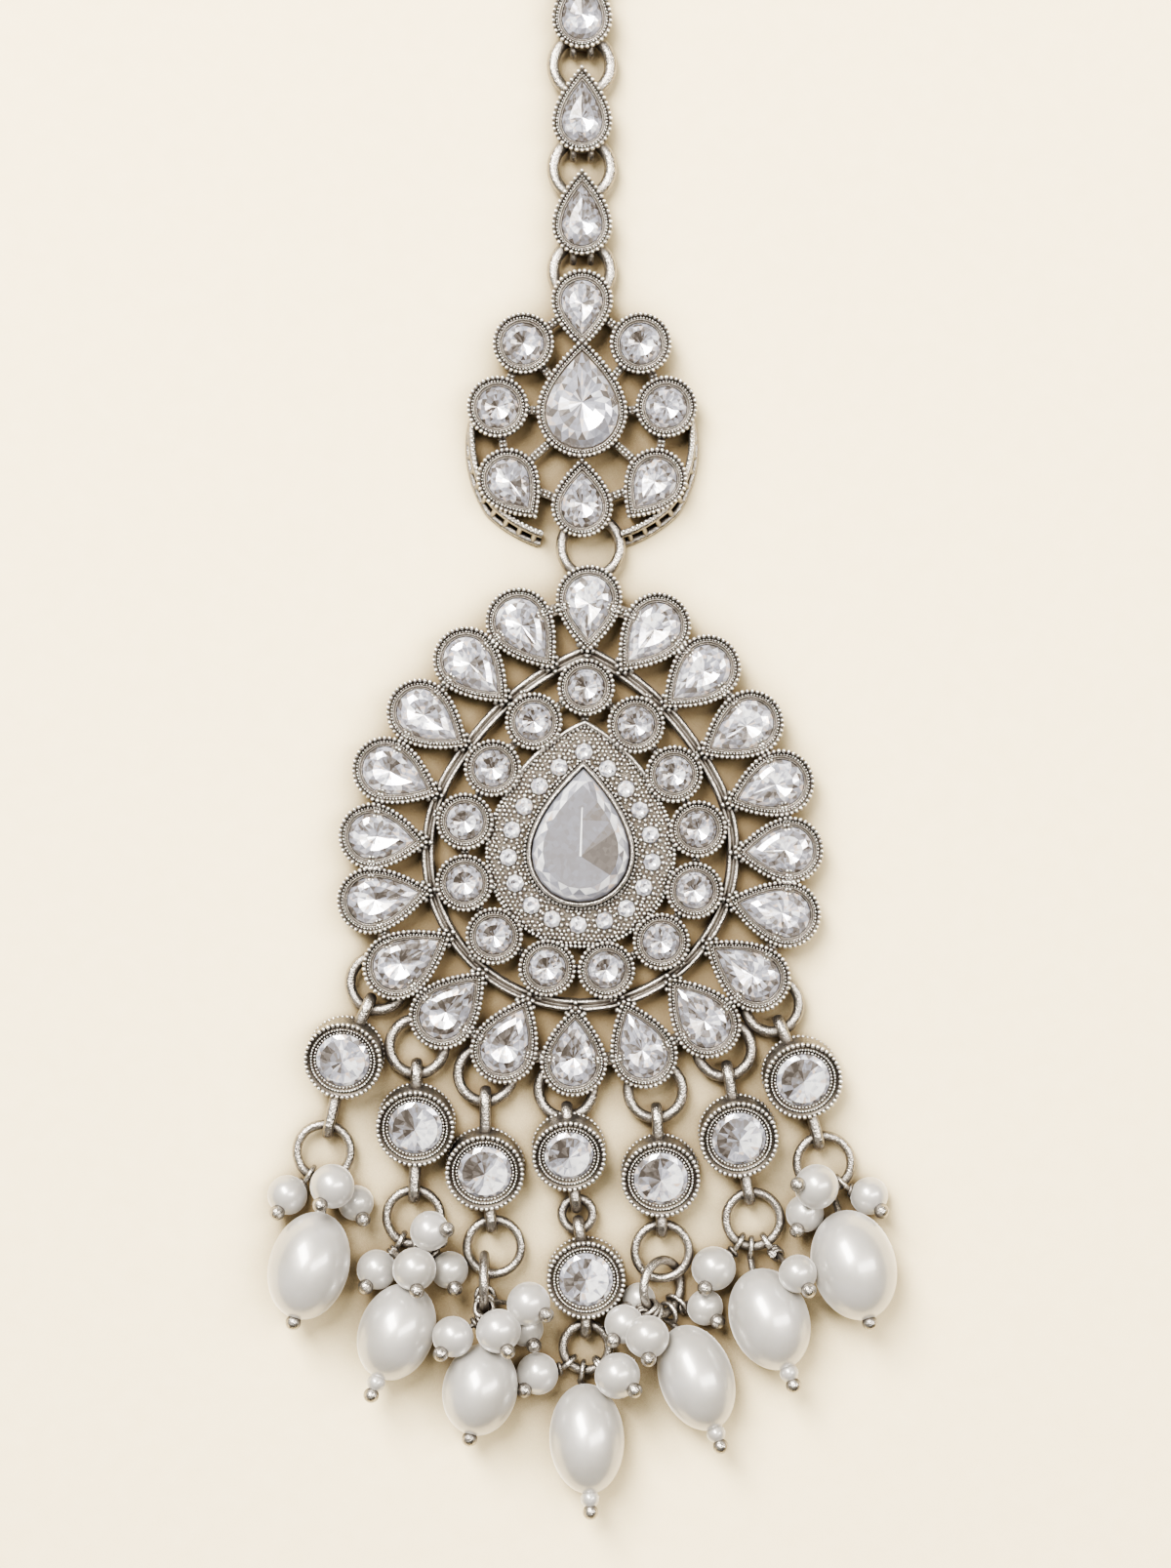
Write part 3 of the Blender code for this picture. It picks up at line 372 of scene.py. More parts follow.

# %% [markdown]
# The strands are read from left to right, and their bearings are measured from straight down. A
# chain of dropped objects could be left to fall by itself, but then it would not lie as in the
# photo. Each strand is therefore laid out one by one, from its loop to its last ring.

# %% How the strands lie
STRANDS = (
    {"name": "a", "pear": 7, "side": -1, "loop": -47, "apart": -0.27, "charm": -23.5,
     "charm_drop": 1.5, "tilt": 12, "ring": -12.4, "ring_drop": 2.35},
    {"name": "b", "pear": 8, "side": -1, "loop": -38, "apart": 0.27, "charm": -0.6,
     "charm_drop": 1.25, "tilt": 12, "ring": -1.6, "ring_drop": 2.0},
    {"name": "c", "pear": 9, "side": -1, "loop": -35, "apart": -0.08, "charm": 0,
     "charm_drop": 2.6, "tilt": 12, "ring": 6.6, "ring_drop": 0.85},
    {"name": "d", "pear": 10, "side": 1, "loop": -14, "apart": -0.15, "charm": 3,
     "charm_drop": 0.12, "tilt": 15, "ring": 7.8, "ring_drop": 0.65},
    {"name": "e", "pear": 9, "side": 1, "loop": 19, "apart": 0.2, "charm": 3.3,
     "charm_drop": 1.75, "tilt": 12, "ring": 1.2, "ring_drop": 0.65},
    {"name": "f", "pear": 8, "side": 1, "loop": 36, "apart": -0.1, "charm": 9,
     "charm_drop": 2.0, "tilt": 12, "ring": 10.2, "ring_drop": 1.4},
    {"name": "g", "pear": 7, "side": 1, "loop": 32, "apart": -0.08, "charm": 22,
     "charm_drop": 1.25, "tilt": 12, "ring": 14.6, "ring_drop": 1.7},
)
SECOND_RINGS = {"c": {"turn": 90.0, "bearing": -20}, "e": {"turn": 46.0, "bearing": 0}}
CHARM_D = 7.5
RING_R, SMALL_RING_R = 2.62, 1.52
D1_SIZE, D2_DROP, D2_TILT, D2_RING = 0.94, 0.85, 4, 0.85
print("strands:", len(STRANDS))


# %% Points on a ring that lies flat or stands up
def hung_below(start, bearing, drop, across):
    """The next wire below a piece: its bearing, the drop to it and half the piece's width."""
    return start + from_bottom(bearing) * (drop * EYE_R + across)


def ring_axes(turn):
    angle = math.radians(turn)
    return Vector((math.cos(angle), 0, -math.sin(angle))), Vector((0, -1, 0))


def on_ring(ring, bearing):
    across, down = ring_axes(ring["turn"])
    angle = math.radians(bearing)
    return ring["centre"] + ring["radius"] * (math.cos(angle) * down + math.sin(angle) * across)


def ring_below(name, wire, bearing, radius):
    return {"name": name, "centre": wire + from_bottom(bearing) * radius, "radius": radius,
            "turn": 0.0}


print("ring kinds:", RING_R, "and", SMALL_RING_R, "mm in radius")

# %% Each strand's charms and rings, from the loop downwards
def laid_strand(strand):
    name = strand["name"]
    loop = strand_loop(strand)
    size = D1_SIZE if name == "d" else 1.0
    hold = loop + from_bottom(strand["charm"]) * STRAND_LOOP_R
    centre = hung_below(hold, strand["charm"], strand["charm_drop"], CHARM_D / 2 * size)
    low = hung_below(centre, strand["ring"], strand["ring_drop"], CHARM_D / 2 * size)
    charms, rings = [], []
    if name == "d":
        ring = ring_below("ring_d_between", low, strand["ring"], SMALL_RING_R)
        charms.append(("charm_d1", hold, PENDANT_WIRE, centre, low, size, strand["tilt"]))
        rings.append(ring)
        hold = ring["centre"] + from_bottom(strand["ring"]) * SMALL_RING_R
        centre = hung_below(hold, strand["ring"], D2_DROP, CHARM_D / 2)
        low = hung_below(centre, 0, strand["ring_drop"], CHARM_D / 2)
        charms.append(("charm_d2", hold, STRAND_WIRE, centre, low, 1.0, D2_TILT))
        rings.append(ring_below("ring_d", low, 0, D2_RING * RING_R))
    else:
        charms.append(("charm_" + name, hold, PENDANT_WIRE, centre, low, size, strand["tilt"]))
        double = SECOND_RINGS.get(name)
        rings.append(ring_below("ring_" + name + ("1" if double else ""), low, strand["ring"],
                                RING_R))
        if double:
            wire = on_ring(rings[0], double["bearing"])
            middle = wire + from_bottom(0) * 0.3 * RING_R
            lift = RING_R * abs(math.sin(math.radians(double["turn"]))) + RING_SEEN
            middle.z = max(lift, LINK_Z)
            rings.append({"centre": middle, "radius": RING_R, "turn": double["turn"],
                          "name": "ring_" + name + "2"})
    return {"name": name, "loop": loop, "charms": charms, "rings": rings}


laid = [laid_strand(strand) for strand in STRANDS]
print("rings laid:", sum(len(s["rings"]) for s in laid))

# %% [markdown]
# The solids already lie somewhere in the frame. One ring of the loaded model tells where the
# pendant's middle is there, and the ring of the far strand shows whether the two agree, so nothing
# is fitted by eye.

# %% Where the pendant's middle is in the loaded model
def solid_ring(name):
    """The middle of a ring in the solids, and where the same ring was laid above."""
    low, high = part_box(name)
    ring = next(ring for s in laid for ring in s["rings"] if ring["name"] == name)
    return (low + high) / 2, ring["centre"] * MM


solid, drawn = solid_ring("ring_a")
MIDDLE = Vector((solid.x - drawn.x, solid.y - drawn.y, 0))
solid, drawn = solid_ring("ring_g")
print("pendant's middle, m:", [round(v, 5) for v in MIDDLE])
print("the far ring is off by, mm:", [round(v / MM, 3) for v in solid - MIDDLE - drawn])

# %% [markdown]
# ## Finishes
# The metal is a white cast metal, bright on every grain and brown-grey where polish never
# reaches. The stones are backed with foil, and the pearls are cloudy glass pearls. Painted
# pictures could do this, but a shader made of nodes stays sharp however close the camera comes.

# %% Helpers for nodes
COLOUR, NUMBER = "NodeSocketColor", "NodeSocketFloat"


def connect(tree, made, inputs):
    """Give a node's inputs either a plain value or the output of another node."""
    for key, value in inputs.items():
        if isinstance(value, bpy.types.NodeSocket):
            tree.links.new(value, made.inputs[key])
        else:
            made.inputs[key].default_value = value


def node(tree, kind, place, inputs=None, **settings):
    made = tree.nodes.new(kind)
    made.location = place
    for key, value in settings.items():
        setattr(made, key, value)
    connect(tree, made, inputs or {})
    return made


def new_group(name, takes, gives):
    """An empty node group with named inputs and outputs, and its two end nodes."""
    tree = bpy.data.node_groups.new(name, "ShaderNodeTree")
    for label, kind, value in takes:
        socket = tree.interface.new_socket(label, in_out="INPUT", socket_type=kind)
        if value is not None:
            socket.default_value = value
    for label, kind in gives:
        tree.interface.new_socket(label, in_out="OUTPUT", socket_type=kind)
    return tree, node(tree, "NodeGroupInput", (-1100, 0)), node(tree, "NodeGroupOutput", (500, 0))


# %% Helpers for the nodes that come back again and again
def noise(tree, place, scale, detail=2.0):
    """Noise that stays fixed to the object."""
    where = node(tree, "ShaderNodeTexCoord", (place[0] - 200, place[1]))
    return node(tree, "ShaderNodeTexNoise", place,
                {"Vector": where.outputs["Object"], "Scale": scale,
                 "Detail": detail}).outputs["Fac"]


def between(tree, place, value, low, high, from_low=0.0, from_high=1.0):
    return node(tree, "ShaderNodeMapRange", place,
                {"Value": value, "From Min": from_low, "From Max": from_high,
                 "To Min": low, "To Max": high}).outputs[0]


def maths(tree, place, operation, a, b, **settings):
    return node(tree, "ShaderNodeMath", place, {0: a, 1: b}, operation=operation,
                **settings).outputs[0]


def ramp(tree, place, value, stops):
    made = node(tree, "ShaderNodeValToRGB", place, {"Fac": value})
    elements = made.color_ramp.elements
    while len(elements) < len(stops):
        elements.new(0.5)
    for element, (at, colour) in zip(elements, stops):
        element.position = at
        element.color = (*colour, 1.0)
    return made.outputs["Color"]


def relief(tree, place, height, strength, distance):
    return node(tree, "ShaderNodeBump", place, {"Height": height, "Strength": strength,
                                                "Distance": distance}).outputs["Normal"]


print("node helpers: noise, between, maths, ramp, relief")

# %% [markdown]
# Tarnish gathers where a polishing cloth can't reach, and polish shows on every top. Ambient
# occlusion finds such hollows on any shape, so one node group can give the tarnish to every metal
# piece. A fine noise breaks it up. Surfaces that face sideways are darkened too, partly as tarnish
# and partly as painted shade.

# %% Node group: tarnish in the hollows, and painted shade on the sides
tarnish_and_side_shade, given, result = new_group(
    "tarnish in hollows",
    (("Bright", COLOUR, None), ("Dark", COLOUR, None), ("Reach", NUMBER, 0.0006),
     ("Depth", NUMBER, 1.6)),
    (("Color", COLOUR), ("Roughness", NUMBER)))
hollow = node(tarnish_and_side_shade, "ShaderNodeAmbientOcclusion", (-650, 150),
              {"Distance": given.outputs["Reach"]}, samples=6)
opened = maths(tarnish_and_side_shade, (-400, 150), "POWER", hollow.outputs["AO"], given.outputs["Depth"])
speck = between(tarnish_and_side_shade, (-400, -150), noise(tarnish_and_side_shade, (-650, -150), 4200.0, 3.0),
                1.0, 0.72, 0.3, 0.75)
facing = node(tarnish_and_side_shade, "ShaderNodeNewGeometry", (-850, -450))
height = node(tarnish_and_side_shade, "ShaderNodeSeparateXYZ", (-650, -450), {0: facing.outputs["Normal"]})
# Surfaces that face sideways are darkened, partly as tarnish and partly as painted shade.
side_tarnish_and_shade = between(tarnish_and_side_shade, (-400, -400), height.outputs["Z"], 0.35, 1.0, 0.0, 0.7)
untarnished_and_lit = maths(tarnish_and_side_shade, (-300, 0), "MULTIPLY", opened, side_tarnish_and_shade)
# polished is bright only where there is neither tarnish nor painted side shade.
polished = maths(tarnish_and_side_shade, (-150, 0), "MULTIPLY", untarnished_and_lit, speck)
blend = node(tarnish_and_side_shade, "ShaderNodeMix", (50, 100),
             {0: polished, 6: given.outputs["Dark"], 7: given.outputs["Bright"]},
             data_type="RGBA")
connect(tarnish_and_side_shade, result, {"Color": blend.outputs[2],
                          "Roughness": between(tarnish_and_side_shade, (50, -150), polished, 0.55, 0.2)})
print("tarnish takes:", [socket.name for socket in given.outputs if socket.name])

# %% [markdown]
# A foiled stone doesn't shine evenly: each facet mirrors another part of the foil. Tracing real
# glass over foil is slow and noisy at this size. So every facet stores a painted reflection grey
# when it is cut, and this group turns it into a colour, with painted white and orange flashes, and
# breaks it into painted splinters of light.

# %% Node group: the painted reflection grey of each facet
facets, given, result = new_group("facet greys", (("Splinter", NUMBER, 1.0),),
                                  (("Color", COLOUR),))
where = node(facets, "ShaderNodeTexCoord", (-1100, -200))
# Painted splinters of light: a fine cell pattern that lightens or darkens each facet's grey.
splinter = node(facets, "ShaderNodeTexVoronoi", (-900, -200),
                {"Vector": where.outputs["Object"], "Scale": 2100.0})
light = node(facets, "ShaderNodeSeparateColor", (-700, -200), {0: splinter.outputs["Color"]})
shift = between(facets, (-500, -200), light.outputs[0], -0.24, 0.16)
scaled = maths(facets, (-420, -100), "MULTIPLY", shift, given.outputs["Splinter"])
stored = node(facets, "ShaderNodeAttribute", (-500, 0), attribute_name="facet")
mixed = maths(facets, (-350, 0), "ADD", stored.outputs["Fac"], scaled, use_clamp=True)
# Painted reflection greys, from near black to white, with one orange flash.
greys = ramp(facets, (-200, 0), mixed, (
    (0.0, (0.035, 0.028, 0.022)), (0.22, (0.12, 0.105, 0.095)), (0.42, (0.20, 0.205, 0.245)),
    (0.62, (0.40, 0.40, 0.455)), (0.66, (0.62, 0.47, 0.36)), (0.70, (0.52, 0.53, 0.58)),
    (1.0, (0.95, 0.95, 0.95))))
connect(facets, result, {"Color": greys})
print("facet greys takes:", [socket.name for socket in given.outputs if socket.name])

# %% [markdown]
# A glass pearl is dipped again and again, which leaves clouds of slightly different white and a
# skin that isn't quite level. Two noises of different size give both, and are cheaper than a
# modelled surface.

# %% Node group: the cloudy lustre of pearl
lustre, given, result = new_group("pearl lustre", (), (("Color", COLOUR), ("Height", NUMBER)))
tint = ramp(lustre, (-200, 100), noise(lustre, (-500, 100), 190.0, 4.0),
            ((0.3, (0.25, 0.232, 0.20)), (0.55, (0.30, 0.284, 0.257)),
             (0.75, (0.335, 0.318, 0.303))))
connect(lustre, result, {"Color": tint, "Height": noise(lustre, (-500, -150), 420.0)})
print("groups:", [tree.name for tree in (tarnish_and_side_shade, facets, lustre)])

# %% [markdown]
# The same metal has four looks on this piece: sparkling on the grains, plainer on the wires, worn
# on the rings that rub together, and nearly black down in the seats. One function makes them all,
# from a bright colour, a dark one, and how far and how strongly the tarnish reaches.


# %% The metals
def finish(name):
    made = bpy.data.materials.new(name)
    made.use_nodes = True
    return made, made.node_tree, made.node_tree.nodes["Principled BSDF"]


def metal(name, bright, dark, reach, depth, pitted):
    made, tree, shader = finish(name)
    # worn carries the tarnish in the hollows and the painted shade on the sides.
    worn = node(tree, "ShaderNodeGroup", (-350, 100),
                {"Bright": (*bright, 1.0), "Dark": (*dark, 1.0), "Reach": reach, "Depth": depth},
                node_tree=tarnish_and_side_shade)
    skin = relief(tree, (-350, -300), noise(tree, (-600, -300), 5200.0), pitted, 0.00008)
    connect(tree, shader, {"Metallic": 1.0, "Base Color": worn.outputs["Color"],
                           "Roughness": worn.outputs["Roughness"], "Normal": skin})
    return made


grained_silver = metal("grained silver", (0.88, 0.84, 0.775), (0.018, 0.013, 0.009), 0.0006, 3.2,
                       0.3)
wire_silver = metal("polished wire", (0.42, 0.388, 0.345), (0.025, 0.018, 0.012), 0.0012, 2.4, 0.8)
dark_silver = metal("tarnished seat", (0.105, 0.092, 0.076), (0.015, 0.011, 0.007), 0.0008, 2.0,
                    0.7)
worn_silver = metal("worn ring wire", (0.33, 0.30, 0.262), (0.02, 0.014, 0.009), 0.0012, 2.4, 0.9)
print("metals:", [made.name for made in (grained_silver, wire_silver, dark_silver, worn_silver)])

# %% [markdown]
# The small stones glitter and the two large ones are calm, so they differ only in the strength of
# the painted splinters of light. The foil is half metallic under a hard clear coat, which stands
# for the glass.

# %% The crystals
def crystal(name, splinter):
    made, tree, shader = finish(name)
    cut = node(tree, "ShaderNodeGroup", (-350, 100), {"Splinter": splinter}, node_tree=facets)
    connect(tree, shader, {"Base Color": cut.outputs["Color"], "Metallic": 0.5, "Roughness": 0.12,
                           "Coat Weight": 0.6, "Coat Roughness": 0.02, "Coat IOR": 1.6})
    return made


foiled = crystal("foil-backed crystal", 0.75)
clear = crystal("large clear crystal", 0.22)
print("crystals:", foiled.name, "and", clear.name)

# %% [markdown]
# A pearl has a soft glow and a sharper glint above it. The glow comes from a rough, half metallic
# body with some light inside, the glint from the coat, and a little sheen brightens the edge, as
# nacre does. One highlight alone would look like plastic.

# %% The pearl, and the order of the finishes
pearl, tree, shader = finish("white pearl")
nacre = node(tree, "ShaderNodeGroup", (-350, 100), node_tree=lustre)
connect(tree, shader, {
    "Base Color": nacre.outputs["Color"], "Metallic": 0.4, "Roughness": 0.38,
    "Coat Weight": 1.0, "Coat IOR": 1.7, "Coat Roughness": 0.17,
    "Sheen Weight": 0.55, "Sheen Roughness": 0.35, "Sheen Tint": (1.0, 0.96, 0.90, 1.0),
    "Subsurface Weight": 0.08, "Subsurface Radius": (1.0, 0.8, 0.65),
    "Subsurface Scale": 0.0008,
    "Normal": relief(tree, (-150, -250), nacre.outputs["Height"], 0.12, 0.0002)})
FINISHES = (grained_silver, wire_silver, dark_silver, foiled, pearl, worn_silver, clear)
GRAIN, WIRE, SEAT, STONE, PEARL, LINK, CLEAR = range(7)
print("finishes:", [made.name for made in FINISHES])

# %% [markdown]
# ## One stone in its setting
# Every stone here sits in a cup with a row of raised grains round the rim, called milgrain, and a
# finer row inside it. The cup is a set of outlines at rising heights. The stone is cut from the
# same outline: girdle, crown facets, and the star of the foiled back seen through the table.

# %% Cutting a stone
CUT = np.random.default_rng(11)
PAINTED_LIGHT_SIDE = np.array([0.35, -0.8])
CROWN_SHARE = 0.84


def gem(pile, line_at, inset, z, rise, matrix, centre=(0.0, 0.0), mains=10, table=0.62, deep=0.5,
        contrast=0.58, bright=0.46, slot=None, twin=0.0):
    """line_at(inset, count) gives the outline. The back's star is sunk below the table's edge.
    A stone cut evenly on both sides gets its radius as twin: two painted highlights, left and
    right."""
    mid = np.array([*centre, 0.0])
    n = mains * 2

    def ring(share, height, shift=0.0):
        fine = line_at(inset, n * 8)
        at = (np.arange(n) * 8 + int(shift * 8)) % len(fine)
        return mid + (at_height(fine[at], 0.0) - mid) * share + np.array([0, 0, height])

    girdle, crown = ring(1.0, z), ring(CROWN_SHARE, z + 0.62 * rise, 0.5)
    edge, star = ring(table, z + rise), ring(table * 0.55, z + rise * (1 - deep * 0.4), 0.5)
    culet = (mid + np.array([0, 0, z + rise * (1 - deep)]))[None]
    points = np.concatenate([girdle, crown, edge, star, culet])
    faces = []
    for i in range(n):
        j = (i + 1) % n
        faces += [(i, j, n + i), (n + i, j, n + j), (n + i, n + j, 2 * n + j),
                  (n + i, 2 * n + j, 2 * n + i), (2 * n + i, 2 * n + j, 3 * n + i),
                  (3 * n + i, 2 * n + j, 3 * n + j), (3 * n + i, 3 * n + j, 4 * n)]
    # Each facet's grey is a painted reflection: star and table facets are lighter where they face
    # the painted light side, turned a little for each stone, crown facets get random greys, and a
    # twin stone gets two painted highlights.
    shade = []
    lit = CUT.uniform(-1.2, 1.2)
    toward = np.array([math.cos(lit), math.sin(lit)]) * 0.6 + PAINTED_LIGHT_SIDE * 0.6
    for number, face in enumerate(faces):
        mean = points[list(face)].mean(0) - mid
        away = mean[:2] / (np.linalg.norm(mean[:2]) + 1e-6)
        value = bright + contrast * 0.6 * float(away @ toward) + CUT.normal(0, 0.17)
        if number % 7 < 4:
            value = bright + CUT.uniform(-0.36, 0.30)
        if twin:
            off = np.hypot(abs(mean[0]) - 0.45 * twin, mean[1] + 0.45 * twin) / (0.42 * twin)
            value = 0.62 * value + 0.55 * math.exp(-off**2)
        shade.append(float(np.clip(value, 0, 1)))
    pile.add(placed(points, matrix), faces, STONE if slot is None else slot, False, shade)


print("facets in a stone with 10 mains:", 10 * 2 * 7)

# %% [markdown]
# The cup could be one lathed shape, but its three zones are finished differently: the outer wall
# is plain, the seat under the grains is black with tarnish, and the lip that holds the stone is
# rubbed bright. So each zone is a profile of its own, given as the distance in from the outline
# and the height.

# %% Building a cup round it
CUP_H, STONE_INSET, STONE_SINK = 3.2, 0.97, 0.62
CUP_PROFILE = ((0.34, 0.0), (0.16, 0.45), (0.14, -1.0), (0.0, -0.62), (0.0, -0.30))
SEAT_PROFILE = ((0.0, -0.30), (0.05, -0.24), (0.30, -0.24), (0.34, -0.42), (0.58, -0.42))
LIP_PROFILE = ((0.58, -0.42), (0.61, -0.28), (0.66, -0.28), (0.72, -0.48), (0.80, -0.62),
               (0.84, -0.50), (0.88, -0.50), (0.93, -0.68), (1.0, -0.85))
MILGRAIN_PITCH, MILGRAIN_R, FINE_R = 0.49, 0.205, 0.115


def swept(line_at, profile, matrix, count, rim=0.0):
    """Outlines along a profile. A height of zero or more counts from the floor, a negative one
    from the rim."""
    return [placed(at_height(line_at(inset, count), z if z >= 0 else rim + z), matrix)
            for inset, z in profile]


def cup(pile, line_at, height, matrix, pitch=MILGRAIN_PITCH, count=72):
    wall = swept(line_at, CUP_PROFILE, matrix, count, height)
    bands(pile, wall[:-2], WIRE)
    bands(pile, wall[-3:], SEAT)
    lid(pile, wall[0], SEAT, down=True)
    bands(pile, swept(line_at, SEAT_PROFILE, matrix, count, height), SEAT)
    bands(pile, swept(line_at, LIP_PROFILE, matrix, count, height), LINK)
    for inset, size, step, drop in ((0.10, MILGRAIN_R, pitch, -0.05), (0.46, FINE_R, 0.30, -0.32)):
        row = even_points(line_at(inset, count * 2), step)
        beads(pile, at_height(row, height + drop), size, matrix, GRAIN)


def pear_at(diameter, length):
    """A pear's outline at any inset. Its tip draws back faster than its sides."""
    radius = diameter / 2
    return lambda inset, count: pear_line(radius - inset, length - radius - inset * 1.45, count)


def round_at(diameter):
    return lambda inset, count: round_line(diameter / 2 - inset, count)


def set_stone(pile, line_at, height, matrix, centre=(0.0, 0.0), pitch=MILGRAIN_PITCH, **cut):
    cup(pile, line_at, height, matrix, pitch)
    gem(pile, line_at, STONE_INSET, height - STONE_SINK, STONE_SINK, matrix, centre, **cut)


print("a cup is", CUP_H, "mm high, its stone sits", STONE_INSET, "mm inside the rim")

# %% [markdown]
# Short cast bars tie neighbouring settings together. On the real piece they are part of one
# casting, with two rows of grains along the top that hide the join. A plain box with two rows of
# the same grains is enough here, since its ends run into the cups.

# %% A short cast bar
def grained_bar(pile, start, end, width=0.75, height=2.3):
    """A short cast bar with two rows of grains on its back."""
    run = end - start
    way = run.normalized()
    across = Vector((-way.y, way.x, 0))
    side = across * width / 2
    low = [start - side, end - side, end + side, start + side]
    rings = [np.array([(p.x, p.y, z) for p in low]) for z in (0.9, height - 0.12)]
    bands(pile, rings, WIRE, smooth=False)
    lid(pile, rings[1], SEAT)
    count = max(2, int(run.length / 0.43))
    for shift in (-0.17, 0.17):
        row = [start + way * (i + 0.5) * run.length / count + across * shift
               for i in range(count)]
        beads(pile, [(p.x, p.y, height - 0.05) for p in row], 0.19, slot=GRAIN)


print("a bar is 0.75 mm wide and 2.3 mm high")

# %% [markdown]
# ## The pendant's rim and its round stones
# Twenty pears stand round a teardrop frame, tips inward, and thirteen round stones lie inside it.
# They are the same setting many times over, so two loops place them all. An array on a curve
# would space them evenly, which the real stones are not.

# %% Pears and rounds
ROUND_RING_R, ROUND_PEAK, ROUND_D = 11.62, 0.38, 5.47
ROUND_BEARINGS = (0, 21.5, 48, 76.7, 106.4, 135.8, 165.7)
lean = Matrix.Rotation(math.radians(PENDANT_LEAN), 4, "Z")
pears = Pile()
# Each pear's painted reflection grey is lighter towards the top of the pendant and darker towards
# the bottom, as painted light.
for head in pear_heads():
    set_stone(pears, pear_at(PEAR_D, head["length"]), CUP_H,
              lean @ tip_at(head["place"], head["head"] + 180), centre=(0.0, 0.5),
              bright=0.50 + 0.07 * math.cos(math.radians(head["head"])))
rounds = Pile()
for bearing in both_sides(ROUND_BEARINGS):
    set_stone(rounds, round_at(ROUND_D), CUP_H,
              lean @ Matrix.Translation(on_teardrop(bearing, ROUND_RING_R, ROUND_PEAK)), deep=0.7)
print("pears:", len(pear_heads()), "rounds:", len(both_sides(ROUND_BEARINGS)))

# %% [markdown]
# Between two pears a wider bar fills the gap, and where a tip meets the frame five larger grains
# make a knot, which hides the solder. The rounds get bars to their neighbours and a spoke from the
# frame to the field inside.

# %% Bars, spokes and the knots at the tips
FIELD_R, FIELD_PEAK, FIELD_H = 9.2, 0.36, 2.6
KNOT = ((-0.3, 0), (0.2, 0.5), (0.2, -0.5), (0.75, 0.85), (0.75, -0.85))
joins = Pile()
heads = sorted(pear_heads(), key=lambda h: math.atan2(h["place"].x, h["place"].y))
for a, b in zip(heads, heads[1:] + heads[:1]):
    grained_bar(joins, leaned(a["place"]), leaned(b["place"]), 1.1, 2.8)
for head in pear_heads():
    out = from_top(head["head"])
    tip = head["place"] - out * (head["length"] - PEAR_D / 2)
    side = Vector((-out.y, out.x, 0))
    knot = [tip + out * along + side * across for along, across in KNOT]
    beads(joins, [(p.x, p.y, 2.5) for p in knot], 0.27, lean, GRAIN)
ring_places = [leaned(on_teardrop(b, ROUND_RING_R, ROUND_PEAK))
               for b in sorted(both_sides(ROUND_BEARINGS))]
for a, b in zip(ring_places, ring_places[1:] + ring_places[:1]):
    grained_bar(rounds, a, b)
for bearing in both_sides(ROUND_BEARINGS):
    outer = on_teardrop(bearing, FRAME_R, FRAME_PEAK)
    inner = on_teardrop(bearing, FIELD_R - 0.8, FIELD_PEAK)
    grained_bar(rounds, leaned(inner), leaned(outer))
pears.piece("pendant_pears", "pendant_frame")
joins.piece("pendant_pear_joins", "pendant_frame")
rounds.piece("pendant_rounds", "pendant_frame")
print("faces in the pears, joins and rounds:", [len(p.faces) for p in (pears, joins, rounds)])

# %% [markdown]
# The frame is two parallel wires on a flat strap. One profile swept round the teardrop gives
# both, with the dark groove between them. The loops under the pears hold the strands, and the top
# loop holds the leaf. They are soldered on, so they belong to the same piece.

# %% The teardrop frame and the loops
TOP_LOOP_R = 2.87
FRAME_COUNT = 160
FRAME_PROFILE = ((-0.62, 0.0), (-0.62, 1.95), (-0.54, 2.18), (-0.36, 2.3), (-0.18, 2.18),
                 (-0.08, 1.85), (0.08, 1.85), (0.18, 2.18), (0.36, 2.3), (0.54, 2.18),
                 (0.62, 1.95), (0.62, 0.0))
straps = Pile()
bands(straps, [placed(at_height(teardrop_line(FRAME_R + across, FRAME_PEAK, FRAME_COUNT), z), lean)
               for across, z in reversed(FRAME_PROFILE)], WIRE)
top_head = next(h for h in pear_heads() if h["row"] == 0)
top_edge = top_head["place"] + NORTH * PEAR_D / 2
top_loop = at_link_level(leaned(top_edge + NORTH * (TOP_LOOP_R - 2 * PENDANT_WIRE)))
for centre, radius in [(top_loop, TOP_LOOP_R)] + [(s["loop"], STRAND_LOOP_R) for s in laid]:
    tube(straps, loop_path(centre, (1, 0, 0), (0, 1, 0), radius), LOOP_SEEN, 14, slot=LINK)
straps.piece("pendant_frame_wires", "pendant_frame")
print("loops:", 1 + len(laid))

# %% [markdown]
# Between the frame and the large stone lies a field of grains with small stones sunk in it, each
# in a crown of grains. It is a low plate with a dark top, since what shows between grains is
# tarnish.

